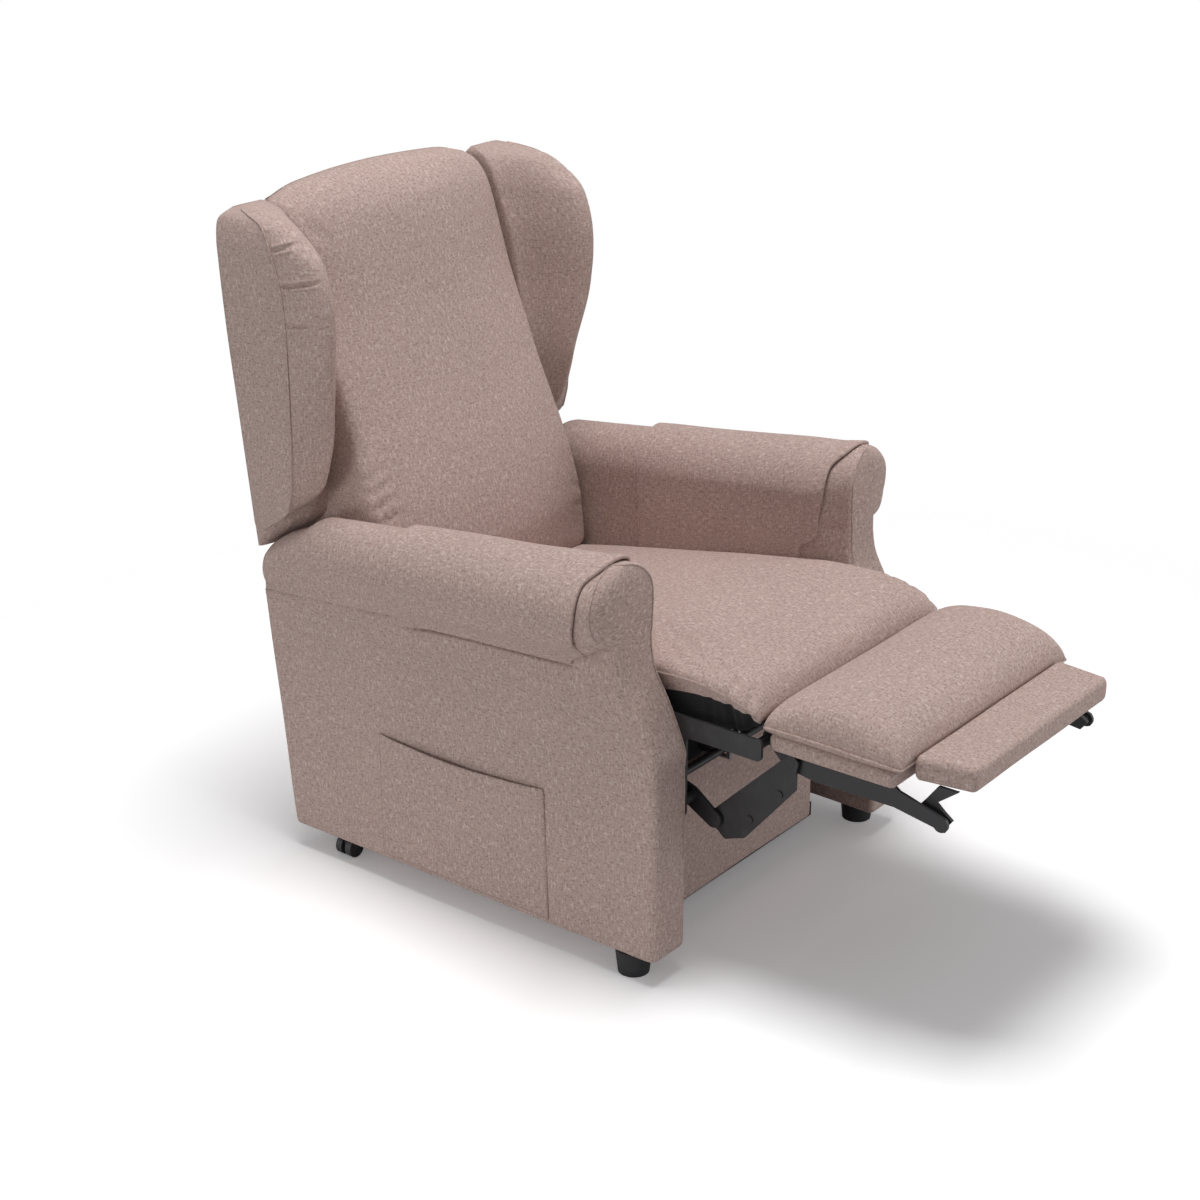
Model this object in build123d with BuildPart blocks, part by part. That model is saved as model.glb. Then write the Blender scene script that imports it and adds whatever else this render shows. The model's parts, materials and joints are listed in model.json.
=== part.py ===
from math import cos, radians, sin, tan
import os

from build123d import *

# Lift recliner, sizes in millimetres. +Z is up, the chair faces -Y, +X is the sitter's left.
# The origin lies on the floor, under the middle of the whole chair with its footrest out.
# Sizes named below along Y are counted from the arms' front face, and heights from the floor.

# Overall sizes
panel_half = 348.0
arm_thick = 80.0
foot_height = 41.0
side_depth = 749.0
lean_angle = 6.4
arm_rise = 6.5
back_height = 1072.0

# Arms
arm_front_straight = 358.0
arm_neck_back = 66.0
arm_neck_height = 515.0
roll_top_front = 664.0
roll_width_front = 146.0
roll_width_rear = 104.0
roll_height_front = 146.0
roll_height_rear = 122.0
roll_out_front = 18.0
roll_out_rear = 3.0
roll_round = 22.0
roll_slope_start = 715.0
roll_end_drop = 34.0
cap_thick = 4.5
cap_front = 91.0
cap_rear = 492.0
cap_drop = 108.0

# Side pocket on the sitter's right
pocket_front = 222.0
pocket_rear = 552.0
pocket_bottom = 50.0
pocket_height = 220.0
pocket_sag = 14.0
pocket_gap = 6.0
pocket_wall = 2.5
pocket_hem = 8.0

# Feet and castors
foot_top_radius = 29.0
foot_bottom_radius = 24.5
foot_set_in = 30.0
foot_back = 60.0
castor_back = 655.0
castor_set_in = 42.0
castor_trail = 12.0
wheel_radius = 17.0
wheel_width = 12.0
wheel_axle_radius = 3.0
stem_radius = 4.0
stem_length = 28.0
castor_web = 8.0
castor_plate = 5.0

# Clearances
running = 0.05
seam_gap = 0.3
layer_gap = 3.0

# Mechanism plates and their layers, counted inwards from the arms
plate_thick = 5.0
link_thick = 8.0
bracket_thick = 6.0
strip_thick = 5.0
crank_inset = 32.0
pin_radius = 8.0
eye_radius = 17.0
stay_eye_radius = 13.0
tube_size = 25.0
tube_wall = 2.0
front_tube = (185.0, 250.0)
rear_tube = (560.0, 267.0)

# Pivots of the lift, as distance behind the arms' front face and height
lift_pivot = (150.0, 110.0)
lift_length = 410.0
stay_pivot = (164.0, 166.0)
chair_stay_pin = (640.0, 250.0)
stay_length = 482.8
stay_angle = 9.91
stay_play = 2.0

# Pivots of the back and the footrest
back_pivot = (715.0, 440.0)
foot_pivot = (-112.0, 408.0)
crank_pivot = (16.0, 278.0)
crank_arm = (-40.0, -26.0)
bar_arm = 40.0
bar_angle = 25.0
bar_radius = 7.0
flip_pivot = (-399.0, 358.0)

# Actuators
rod_radius = 10.0
sleeve_radius = 18.0
motor_radius = 26.0
motor_length = 110.0
gear_box = (52.0, 46.0, 48.0)
motor_offset = 48.0
yoke_width = 28.0
yoke_slit = 16.0
yoke_reach = 14.0
yoke_back = 26.0
yoke_block = 16.0
yoke_wall = 4.0
lever_thick = 8.0
lever_pin_radius = 6.0
lever_hub = 5.0
lift_lever = 90.0
lift_lever_angle = 70.0
lift_rod_height = 197.3
lift_slot = 2.7
back_lever = 150.0
back_lever_angle = 10.0
back_rod_height = 300.0
back_slot = 10.5
foot_rod_height = 306.5
foot_slot = 12.0
rod_play = 1.7
foot_play = 2.8
foot_slot_shift = 2.2
back_side = 90.0
foot_side = -90.0
lift_sleeve_end = 330.0
lift_rod_end = 470.0
back_sleeve_end = 520.0
back_rod_end = 370.0
foot_sleeve_end = 250.0
foot_rod_end = 390.0

# Control box
box_size = (84.0, 78.0, 38.0)
box_corner = 6.0
socket_depth = 16.0
inlet_size = (27.0, 20.0)
inlet_corner = 3.0
inlet_side = -18.0
handset_radius = 7.0
handset_side = 22.0

# Lift base
rail_height = 25.0
rail_width = 34.0
pad_height = 12.0
pad_radius = 17.0
base_front = 112.0
base_rear = 700.0
base_tube_back = 672.5
torque_radius = 15.0

# Seat
seat_gap = 11.0
seat_front = -113.0
seat_rear = 608.0

# Seat cushion: place along the seat, underside, side seam and crown
seat_sections = (
    (seat_front, 430.0, 446.0, 453.0),
    (-75.0, 404.0, 463.0, 482.0),
    (0.0, 380.0, 477.0, 502.0),
    (150.0, 350.0, 462.0, 492.0),
    (400.0, 320.0, 418.0, 448.0),
    (seat_rear, 300.0, 380.0, 402.0),
)
seat_bulge = 6.0

# Seat frame
deck_front = 375.0
deck_rear = 338.0
deck_start = 80.0
seat_rail_height = 40.0
seat_rail_width = 30.0
strap_width = 56.0
strap_thick = 2.0
strap_count = 6

# Aprons and curtain
apron_back = 75.0
apron_thick = 20.0
apron_half = 195.0
apron_bottom = 46.0
apron_top = 272.0
curtain_thick = 2.0
rear_apron_thick = 12.0
rear_apron_bottom = 52.0
rear_apron_top = 380.0

# Back
back_over = 12.0
back_bottom = 408.0
back_top_draw = 8.0

# Back cushion: share of its height, depth in front of the rear face at the side seam, and crown of the front
back_sections = (
    (0.000, 200.2, 18.0),
    (0.063, 197.9, 24.0),
    (0.139, 196.5, 30.0),
    (0.252, 184.9, 29.0),
    (0.372, 165.9, 24.0),
    (0.530, 135.6, 20.0),
    (0.711, 101.1, 18.0),
    (0.877, 79.4, 18.0),
    (0.959, 63.6, 14.0),
    (1.000, 32.6, 6.0),
)

# Back frame and shell
shell_thick = 12.0
shell_bottom = 445.0
upright_width = 30.0
upright_depth = 21.0
upright_bottom = 400.0
frame_drop = 72.0
hinge_plate = 6.0
hinge_plate_top = 520.0
hinge_corner = 10.0
wing_gap = 3.0
wing_bottom = 590.0

# Wings: share of the height, depth of outer seam, front edge and inner crease, and the outside's draw-in
wing_sections = (
    (0.000, 22.6, 38.6, 22.6, 12.0),
    (0.046, 87.0, 101.0, 89.0, 6.0),
    (0.104, 104.2, 129.2, 110.2, 2.0),
    (0.332, 107.5, 167.5, 124.5, 0.0),
    (0.539, 118.7, 196.7, 101.7, 0.0),
    (0.705, 132.7, 212.7, 94.7, 0.0),
    (0.851, 122.6, 206.6, 76.6, 2.0),
    (0.944, 97.6, 159.6, 61.6, 8.0),
    (1.000, 54.6, 84.6, 34.6, 24.0),
)

# Footrest
pad_gap = 3.5
pad_front = -343.0
board_bottom = 403.0
board_thick = 27.0
board_inset = 7.0
pad_bulge = 5.0
plate_gap = 4.0
foot_plate_depth = 93.0
foot_plate_thick = 38.0
foot_plate_top = 446.0
foot_plate_half = 212.0
foot_plate_taper = 15.0
plate_bracket = 6.0
strap_half = 12.0
strap_knee = 46.0
strap_step = 22.0
rail_eye_wall = 5.0

# Footrest pad: place along it, draw-in of the sides, side seam and crown
pad_sections = (
    (seat_front - pad_gap, 0.0, 440.0, 450.0),
    (-150.0, 0.0, 452.0, 479.0),
    (-240.0, 0.0, 456.0, 492.0),
    (-300.0, 1.0, 452.0, 482.0),
    (-328.0, 3.0, 444.0, 464.0),
    (pad_front, 5.0, 437.0, 446.0),
)

# Values worked out from the sizes above
arm_inner = panel_half - arm_thick
lean = tan(radians(lean_angle))
rise = tan(radians(arm_rise))
plate_in = arm_inner - plate_thick
bracket_out = plate_in - layer_gap
bracket_in = bracket_out - bracket_thick
link_out = bracket_in - 2
link_in = link_out - link_thick
crank_out = plate_in - crank_inset + strip_thick
crank_in = crank_out - strip_thick
drive_out = crank_in - layer_gap
drive_in = drive_out - strip_thick
rail_out = drive_out - strip_thick - layer_gap
rail_in = rail_out - strip_thick
hinge_out = plate_in - crank_inset
hinge_in = hinge_out - hinge_plate
back_half = hinge_in + back_over
wing_inner = back_half + wing_gap
upright_top = back_height - frame_drop
chair_lift_pin = (lift_pivot[0] + lift_length, lift_pivot[1])
crank_end = (crank_pivot[0] + crank_arm[0], crank_pivot[1] + crank_arm[1])
board_pin = (foot_pivot[0] + crank_arm[0], foot_pivot[1] + crank_arm[1])
drive_bar = (
    crank_pivot[0] + bar_arm * cos(radians(bar_angle)),
    crank_pivot[1] + bar_arm * sin(radians(bar_angle)),
)
lift_lever_pin = (
    lift_pivot[0] + lift_lever * cos(radians(lift_lever_angle)),
    lift_pivot[1] + lift_lever * sin(radians(lift_lever_angle)),
)
back_lever_pin = (
    back_pivot[0] + back_lever * sin(radians(back_lever_angle)),
    back_pivot[1] - back_lever * cos(radians(back_lever_angle)),
)
box_foot = rear_tube[1] + tube_size / 2
lever_room = torque_radius + lever_hub + 3 * layer_gap
seat_half = arm_inner - seat_gap
plate_rear = pad_front - plate_gap
plate_front = plate_rear - foot_plate_depth
back_rear = side_depth + (back_height - foot_height) * lean
arm_front = -(plate_front + back_rear) / 2

os.makedirs("parts", exist_ok=True)


def rear_at(height):
    return side_depth + (height - foot_height) * lean


def side_plane(x):
    return Plane((x, arm_front, 0), x_dir=(0, 1, 0), z_dir=(1, 0, 0))


def level_plane(z):
    return Plane((0, arm_front, z), x_dir=(1, 0, 0), z_dir=(0, 0, 1))


def front_plane(y):
    return Plane((0, arm_front + y, 0), x_dir=(1, 0, 0), z_dir=(0, -1, 0))


def save(piece, name):
    piece.part.label = name
    export_step(piece.part, f"parts/{name}.step")


def side_extrusion(points, x_from, x_to):
    with BuildPart() as piece:
        with BuildSketch(side_plane(x_from)):
            Polygon(*points, align=None)
        extrude(amount=x_to - x_from)
    return piece


# Arms: a padded side panel with a roll on top that widens towards the front
def roll_section(y):
    share = (y - arm_neck_back) / (side_depth - arm_neck_back)
    width = roll_width_front + (roll_width_rear - roll_width_front) * share
    height = roll_height_front + (roll_height_rear - roll_height_front) * share
    out = roll_out_front + (roll_out_rear - roll_out_front) * share
    top = roll_top_front - (y - arm_neck_back) * rise
    middle = panel_half - arm_thick / 2 + out
    return middle, top - height / 2, width, height


def roll_face(y, side, grow=0.0):
    middle, level, width, height = roll_section(y)
    with BuildSketch(front_plane(y)) as section:
        with Locations((side * middle, level)):
            RectangleRounded(width + 2 * grow, height + 2 * grow, width * 0.47 + grow)
    return section.sketch


def make_arm(side, name):
    roll_rear = rear_at(roll_section(side_depth)[1])
    roll_level = roll_section(arm_neck_back)[1]
    rear_level = roll_section(roll_rear)[1]
    with BuildPart() as arm:
        with BuildSketch(side_plane(side * arm_inner)):
            with BuildLine():
                Line((0, foot_height), (0, arm_front_straight))
                Spline(
                    (0, arm_front_straight),
                    (arm_neck_back, arm_neck_height),
                    tangents=((0, 1), (0, 1)),
                )
                Line((arm_neck_back, arm_neck_height), (arm_neck_back, roll_level))
                Line((arm_neck_back, roll_level), (rear_at(rear_level), rear_level))
                Line((rear_at(rear_level), rear_level), (side_depth, foot_height))
                Line((side_depth, foot_height), (0, foot_height))
            make_face()
        extrude(amount=side * arm_thick)
        add(roll_face(arm_neck_back, side, -roll_round / 2))
        add(roll_face(arm_neck_back + roll_round, side))
        loft()
        add(roll_face(arm_neck_back + roll_round, side))
        add(roll_face(roll_rear, side))
        loft()
        slope = [
            (roll_slope_start, roll_top_front),
            (roll_slope_start, roll_section(roll_slope_start)[1] + roll_height_rear / 2),
            (roll_rear + 1, rear_level + roll_height_rear / 2 - roll_end_drop),
            (roll_rear + 1, roll_top_front),
        ]
        with BuildSketch(side_plane(side * (arm_inner - arm_thick))):
            Polygon(*slope, align=None)
        extrude(amount=side * 3 * arm_thick, mode=Mode.SUBTRACT)
        with BuildSketch(level_plane(foot_height)):
            with Locations((side * (panel_half - castor_set_in), castor_back)):
                Circle(stem_radius + running)
        extrude(amount=stem_length, mode=Mode.SUBTRACT)
    save(arm, name)


# Arm covers: a loose fabric sleeve over the roll, open underneath
def make_cap(side, name):
    middle, _, width, _ = roll_section(cap_front)
    low = roll_top_front - cap_drop - (cap_rear - arm_neck_back) * rise
    with BuildPart() as cap:
        add(roll_face(cap_front, side, seam_gap + cap_thick))
        add(roll_face(cap_rear, side, seam_gap + cap_thick))
        loft()
        add(roll_face(cap_front, side, seam_gap))
        add(roll_face(cap_rear, side, seam_gap))
        loft(mode=Mode.SUBTRACT)
        below = [
            (cap_front - 1, roll_top_front - cap_drop),
            (cap_rear + 1, low),
            (cap_rear + 1, foot_height),
            (cap_front - 1, foot_height),
        ]
        with BuildSketch(side_plane(side * (middle - width))):
            Polygon(*below, align=None)
        extrude(amount=side * 2 * width, mode=Mode.SUBTRACT)
    save(cap, name)


for side, word in ((-1, "right"), (1, "left")):
    make_arm(side, f"arm_{word}")
    make_cap(side, f"arm_cap_{word}")

# Side pocket: a flat panel held off the arm along its bottom and sides
with BuildPart() as side_pocket:
    pocket_top = pocket_bottom + pocket_height
    with BuildSketch(side_plane(-panel_half)):
        with BuildLine():
            Line((pocket_front, pocket_top), (pocket_front, pocket_bottom))
            Line((pocket_front, pocket_bottom), (pocket_rear, pocket_bottom))
            Line((pocket_rear, pocket_bottom), (pocket_rear, pocket_top))
            ThreePointArc(
                (pocket_rear, pocket_top),
                ((pocket_front + pocket_rear) / 2, pocket_top - pocket_sag),
                (pocket_front, pocket_top),
            )
        make_face()
    extrude(amount=-(pocket_gap + pocket_wall))
    with BuildSketch(side_plane(-panel_half)):
        with Locations(((pocket_front + pocket_rear) / 2, pocket_bottom + pocket_hem + pocket_height)):
            Rectangle(pocket_rear - pocket_front - 2 * pocket_hem, 2 * pocket_height)
    extrude(amount=-pocket_gap, mode=Mode.SUBTRACT)
save(side_pocket, "side_pocket")

# Front feet: tapered plastic blocks under the arms
with BuildPart() as front_feet:
    spots = [(side * (panel_half - foot_set_in), foot_back) for side in (-1, 1)]
    for spot in spots:
        with BuildSketch(level_plane(0)):
            with Locations(spot):
                Circle(foot_bottom_radius)
        with BuildSketch(level_plane(foot_height)):
            with Locations(spot):
                Circle(foot_top_radius)
        loft()
save(front_feet, "front_feet")


# Rear castors: a swivelling plate with a web between two wheels on one axle
def make_castor(side, word):
    stem_x = side * (panel_half - castor_set_in)
    wheel_x = stem_x + side * castor_trail
    plate_top = foot_height - seam_gap
    plate_low = plate_top - castor_plate
    with BuildPart() as housing:
        with BuildSketch(level_plane(plate_low)):
            with Locations((stem_x, castor_back)):
                Circle(wheel_radius)
            with Locations((wheel_x, castor_back)):
                Circle(wheel_radius)
            make_hull()
        extrude(amount=castor_plate)
        with BuildSketch(level_plane(plate_top)):
            with Locations((stem_x, castor_back)):
                Circle(stem_radius)
        extrude(amount=stem_length)
        with BuildSketch(front_plane(castor_back + castor_web / 2)):
            with Locations((wheel_x, wheel_radius)):
                Circle(wheel_radius / 2)
            with Locations((wheel_x, (wheel_radius + plate_low) / 2)):
                Rectangle(wheel_radius, plate_low - wheel_radius)
            with Locations((wheel_x, wheel_radius)):
                Circle(wheel_axle_radius + running, mode=Mode.SUBTRACT)
        extrude(amount=castor_web)
    save(housing, f"castor_housing_{word}")
    with BuildPart() as wheels:
        half = castor_web / 2 + seam_gap
        for start in (-half - wheel_width, half):
            with BuildSketch(front_plane(castor_back + start + wheel_width)):
                with Locations((wheel_x, wheel_radius)):
                    Circle(wheel_radius)
            extrude(amount=wheel_width)
        with BuildSketch(front_plane(castor_back + half)):
            with Locations((wheel_x, wheel_radius)):
                Circle(wheel_axle_radius)
        extrude(amount=2 * half)
    save(wheels, f"castor_wheels_{word}")


for side, word in ((-1, "right"), (1, "left")):
    make_castor(side, word)


# Mechanism plates: one bolted to each arm, with the studs that everything turns on
def make_mechanism_plate(side, name):
    lug = eye_radius
    top = foot_pivot[1] + lug
    outline = [
        (foot_pivot[0] - lug, foot_pivot[1] + lug),
        (back_pivot[0] - 2 * lug, top),
        (back_pivot[0] - lug, back_pivot[1] + lug),
        (back_pivot[0] + lug, back_pivot[1] + lug),
        (back_pivot[0] + lug, back_pivot[1] - lug),
        (chair_stay_pin[0] + 2 * lug, chair_stay_pin[1] - lug),
        (chair_lift_pin[0] + 1.5 * lug, chair_lift_pin[1] - lug),
        (chair_lift_pin[0] - 1.5 * lug, chair_lift_pin[1] - lug),
        (chair_lift_pin[0] - 2 * lug, crank_pivot[1] - 2 * lug),
        (crank_pivot[0] + 2 * lug, crank_pivot[1] - 2 * lug),
        (crank_pivot[0] - 0.7 * lug, crank_pivot[1] - lug),
        (crank_pivot[0] - 0.7 * lug, foot_pivot[1] - lug),
        (foot_pivot[0] - lug, foot_pivot[1] - lug),
    ]
    studs = [
        (chair_lift_pin, pin_radius, link_in),
        (chair_stay_pin, pin_radius, link_in),
        (back_pivot, pin_radius, hinge_in + seam_gap),
        (foot_pivot, pin_radius, rail_in),
        (crank_pivot, pin_radius, crank_in),
    ]
    with BuildPart() as plate:
        with BuildSketch(side_plane(side * plate_in)):
            Polygon(*outline, align=None)
            fillet(vertices(), lug * 0.45)
        extrude(amount=side * plate_thick)
        for place, radius, reach in studs:
            with BuildSketch(side_plane(side * reach)):
                with Locations(place):
                    Circle(radius)
            extrude(amount=side * (plate_in - reach))
    save(plate, name)


# Flat links with an eye at each pivot
def eye_link(points, radii, holes, x_in, thick, side):
    with BuildPart() as link:
        with BuildSketch(side_plane(side * x_in)):
            for point, radius in zip(points, radii):
                with Locations(point):
                    Circle(radius)
            make_hull()
            for point, radius in holes:
                with Locations(point):
                    Circle(radius, mode=Mode.SUBTRACT)
        extrude(amount=side * thick)
    return link


def square_tube(y, z, half, name):
    with BuildPart() as tube:
        with BuildSketch(side_plane(-half)):
            with Locations((y, z)):
                Rectangle(tube_size, tube_size)
                Rectangle(tube_size - 2 * tube_wall, tube_size - 2 * tube_wall, mode=Mode.SUBTRACT)
        extrude(amount=2 * half)
    save(tube, name)


square_tube(*front_tube, plate_in, "front_cross_tube")
square_tube(*rear_tube, plate_in, "rear_cross_tube")

# Lift base on the floor
base_out = bracket_in
base_in = base_out - rail_width
rail_top = pad_height + rail_height
base_tube_places = (base_front + tube_size / 2, base_tube_back)


def make_base_side(side, word):
    with BuildPart() as rail:
        with BuildSketch(front_plane(base_rear)):
            with Locations((side * (base_in + rail_width / 2), pad_height + rail_height / 2)):
                Rectangle(rail_width, rail_height)
                Rectangle(rail_width - 2 * tube_wall, rail_height - 2 * tube_wall, mode=Mode.SUBTRACT)
        extrude(amount=base_rear - base_front)
    save(rail, f"base_rail_{word}")
    outline = [
        (lift_pivot[0] - 1.5 * eye_radius, pad_height),
        (stay_pivot[0] + 5 * eye_radius, pad_height),
        (stay_pivot[0] + eye_radius, stay_pivot[1] + eye_radius),
        (stay_pivot[0] - eye_radius, stay_pivot[1] + eye_radius),
        (lift_pivot[0] - 1.5 * eye_radius, lift_pivot[1] + eye_radius),
    ]
    with BuildPart() as bracket:
        with BuildSketch(side_plane(side * bracket_in)):
            Polygon(*outline, align=None)
            fillet(vertices(), eye_radius * 0.45)
        extrude(amount=side * bracket_thick)
        for place in (lift_pivot, stay_pivot):
            with BuildSketch(side_plane(side * (link_in + seam_gap))):
                with Locations(place):
                    Circle(pin_radius)
            extrude(amount=side * (bracket_in - link_in - seam_gap))
    save(bracket, f"base_bracket_{word}")


def make_lift_links(side, word):
    link = eye_link(
        (lift_pivot, chair_lift_pin),
        (eye_radius + 1, eye_radius),
        ((lift_pivot, pin_radius + running), (chair_lift_pin, pin_radius + running)),
        link_in,
        link_thick,
        side,
    )
    save(link, f"lift_link_{word}")
    stay_end = (
        stay_pivot[0] + stay_length * cos(radians(stay_angle)),
        stay_pivot[1] + stay_length * sin(radians(stay_angle)),
    )
    stay = eye_link(
        (stay_pivot, stay_end),
        (stay_eye_radius, stay_eye_radius),
        ((stay_pivot, pin_radius + running), (stay_end, pin_radius + stay_play)),
        link_in,
        link_thick,
        side,
    )
    save(stay, f"lift_stay_{word}")


for side, word in ((-1, "right"), (1, "left")):
    make_mechanism_plate(side, f"mechanism_plate_{word}")
    make_base_side(side, word)
    make_lift_links(side, word)

for place, word in zip(base_tube_places, ("front", "rear")):
    square_tube(place, pad_height + rail_height / 2, base_in, f"base_tube_{word}")

with BuildPart() as base_pads:
    with BuildSketch(level_plane(0)):
        for y in (base_front + 2 * pad_radius, base_rear - 2 * pad_radius):
            for side in (-1, 1):
                with Locations((side * (base_in + rail_width / 2), y)):
                    Circle(pad_radius)
    extrude(amount=pad_height)
save(base_pads, "base_pads")


# Levers on a cross tube, each with a pin that runs in the slot of an actuator's yoke
def lever_tube(centre, half, pin, x):
    with BuildPart() as tube:
        with BuildSketch(side_plane(-half)):
            with Locations(centre):
                Circle(torque_radius)
        extrude(amount=2 * half)
        with BuildSketch(side_plane(x - lever_thick / 2)):
            with Locations(centre):
                Circle(torque_radius + lever_hub)
            with Locations(pin):
                Circle(2 * lever_pin_radius)
            make_hull()
        extrude(amount=lever_thick)
        with BuildSketch(side_plane(x - yoke_width / 2)):
            with Locations(pin):
                Circle(lever_pin_radius)
        extrude(amount=yoke_width)
    return tube


lift_torque_tube = lever_tube(lift_pivot, link_in, lift_lever_pin, 0)
save(lift_torque_tube, "lift_torque_tube")
back_lower_tube = lever_tube(back_pivot, hinge_in, back_lever_pin, back_side)
save(back_lower_tube, "back_lower_tube")


# Actuators: a gear box and motor with a sleeve, and a rod with a slotted yoke
def make_actuator(x, level, foot, sleeve_end, way, name):
    width, depth, height = gear_box
    foot_y, foot_z = foot
    box_y = foot_y + way * depth / 2
    with BuildPart() as actuator:
        with BuildSketch(level_plane(foot_z)):
            with Locations((x, box_y)):
                Rectangle(width, depth)
        extrude(amount=level + height / 2 - foot_z)
        with BuildSketch(front_plane(foot_y)):
            with Locations((x, level)):
                Circle(sleeve_radius)
        extrude(amount=-(sleeve_end - foot_y))
        motor_x = x + motor_offset * (1 if x >= 0 else -1)
        with BuildSketch(front_plane(foot_y)):
            with Locations((motor_x, level)):
                Circle(motor_radius)
        extrude(amount=-way * motor_length)
        with BuildSketch(front_plane(sleeve_end)):
            with Locations((x, level)):
                Circle(rod_radius + running)
        extrude(amount=sleeve_end - foot_y - way * depth, mode=Mode.SUBTRACT)
    save(actuator, name)


def make_rod(x, level, pin, end, way, name):
    pin_size, slot, play, shift, rod_end = end
    block = pin[0] - way * yoke_back
    tip = pin[0] + way * yoke_reach
    half = slot + pin_size + play
    with BuildPart() as rod:
        with BuildSketch(side_plane(x - yoke_width / 2)):
            with Locations(((tip + block - way * yoke_block) / 2, level)):
                Rectangle(abs(tip - block) + yoke_block, 2 * (half + yoke_wall))
            with Locations((pin[0] + shift, level)):
                Rectangle(2 * (pin_size + play), 2 * half, mode=Mode.SUBTRACT)
        extrude(amount=yoke_width)
        with BuildSketch(side_plane(x - yoke_slit / 2)):
            with Locations(((tip + block) / 2, level)):
                Rectangle(abs(tip - block), 2 * (half + yoke_wall))
        extrude(amount=yoke_slit, mode=Mode.SUBTRACT)
        with BuildSketch(front_plane(block - way * yoke_block)):
            with Locations((x, level)):
                Circle(rod_radius)
        extrude(amount=block - way * yoke_block - rod_end)
    save(rod, name)


lift_foot = (base_tube_back + tube_size / 2, rail_top)
foot_foot = (rear_tube[0] + tube_size / 2, rear_tube[1] + tube_size / 2)
back_foot = (front_tube[0] - tube_size / 2, front_tube[1] + tube_size / 2)
make_actuator(0, lift_rod_height, lift_foot, lift_sleeve_end, -1, "lift_actuator")
make_actuator(foot_side, foot_rod_height, foot_foot, foot_sleeve_end, -1, "footrest_actuator")
make_actuator(back_side, back_rod_height, back_foot, back_sleeve_end, 1, "back_actuator")
lift_end = (lever_pin_radius, lift_slot, rod_play, 0, lift_rod_end)
foot_end = (bar_radius, foot_slot, foot_play, foot_slot_shift, foot_rod_end)
back_end = (lever_pin_radius, back_slot, rod_play, 0, back_rod_end)
make_rod(0, lift_rod_height, lift_lever_pin, lift_end, -1, "lift_rod")
make_rod(foot_side, foot_rod_height, drive_bar, foot_end, -1, "footrest_rod")
make_rod(back_side, back_rod_height, back_lever_pin, back_end, 1, "back_rod")

# Control box on the rear cross tube, with a mains inlet and a handset socket
with BuildPart() as control_box:
    with BuildSketch(level_plane(box_foot)):
        with Locations((0, rear_tube[0])):
            RectangleRounded(box_size[0], box_size[1], box_corner)
    extrude(amount=box_size[2])
    with BuildSketch(front_plane(rear_tube[0] + box_size[1] / 2)):
        with Locations((inlet_side, box_foot + box_size[2] / 2)):
            RectangleRounded(*inlet_size, inlet_corner)
        with Locations((handset_side, box_foot + box_size[2] / 2)):
            Circle(handset_radius)
    extrude(amount=socket_depth, mode=Mode.SUBTRACT)
save(control_box, "control_box")


# Seat frame: sloping wooden rails with straps across
def deck_at(y):
    return deck_front + (deck_rear - deck_front) * (y - deck_start) / (seat_rear - deck_start)


rail_outline = [
    (deck_start, deck_at(deck_start)),
    (seat_rear, deck_at(seat_rear)),
    (seat_rear, deck_at(seat_rear) - seat_rail_height),
    (deck_start, deck_at(deck_start) - seat_rail_height),
]
for side, word in ((-1, "right"), (1, "left")):
    seat_rail = side_extrusion(rail_outline, side * (plate_in - seat_rail_width), side * plate_in)
    save(seat_rail, f"seat_rail_{word}")

cross_half = plate_in - seat_rail_width
front_rail_outline = [
    (deck_start, deck_at(deck_start)),
    (deck_start + seat_rail_width, deck_at(deck_start + seat_rail_width)),
    (deck_start + seat_rail_width, deck_at(deck_start) - seat_rail_height),
    (deck_start, deck_at(deck_start) - seat_rail_height),
]
seat_front_rail = side_extrusion(front_rail_outline, -cross_half, cross_half)
save(seat_front_rail, "seat_front_rail")

with BuildPart() as seat_webbing:
    first = deck_start + seat_rail_width
    pitch = (seat_rear - first) / strap_count
    for index in range(strap_count):
        start = first + index * pitch + (pitch - strap_width) / 2
        strap = [
            (start, deck_at(start)),
            (start + strap_width, deck_at(start + strap_width)),
            (start + strap_width, deck_at(start + strap_width) + strap_thick),
            (start, deck_at(start) + strap_thick),
        ]
        with BuildSketch(side_plane(-seat_half)):
            Polygon(*strap, align=None)
        extrude(amount=2 * seat_half)
save(seat_webbing, "seat_webbing")


# Cushions: sections with a flat bottom, drawn-in sides and a crowned top
def cushion_face(y, half, bottom, edge, crown, bulge):
    middle = (bottom + edge) / 2
    with BuildSketch(front_plane(y)) as section:
        with BuildLine():
            Line((-half, bottom), (half, bottom))
            ThreePointArc((half, bottom), (half + bulge, middle), (half, edge))
            ThreePointArc((half, edge), (0, crown), (-half, edge))
            ThreePointArc((-half, edge), (-half - bulge, middle), (-half, bottom))
        make_face()
    return section.sketch


with BuildPart() as seat_cushion:
    for y, bottom, edge, crown in seat_sections:
        add(cushion_face(y, seat_half - seat_bulge, bottom, edge, crown, seat_bulge))
    loft()
    under = [
        (deck_start - 15, deck_at(deck_start - 15) + strap_thick + seam_gap),
        (seat_rear + 1, deck_at(seat_rear + 1) + strap_thick + seam_gap),
        (seat_rear + 1, 200),
        (deck_start - 15, 200),
    ]
    with BuildSketch(side_plane(-panel_half)):
        Polygon(*under, align=None)
    extrude(amount=2 * panel_half, mode=Mode.SUBTRACT)
save(seat_cushion, "seat_cushion")

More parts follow.
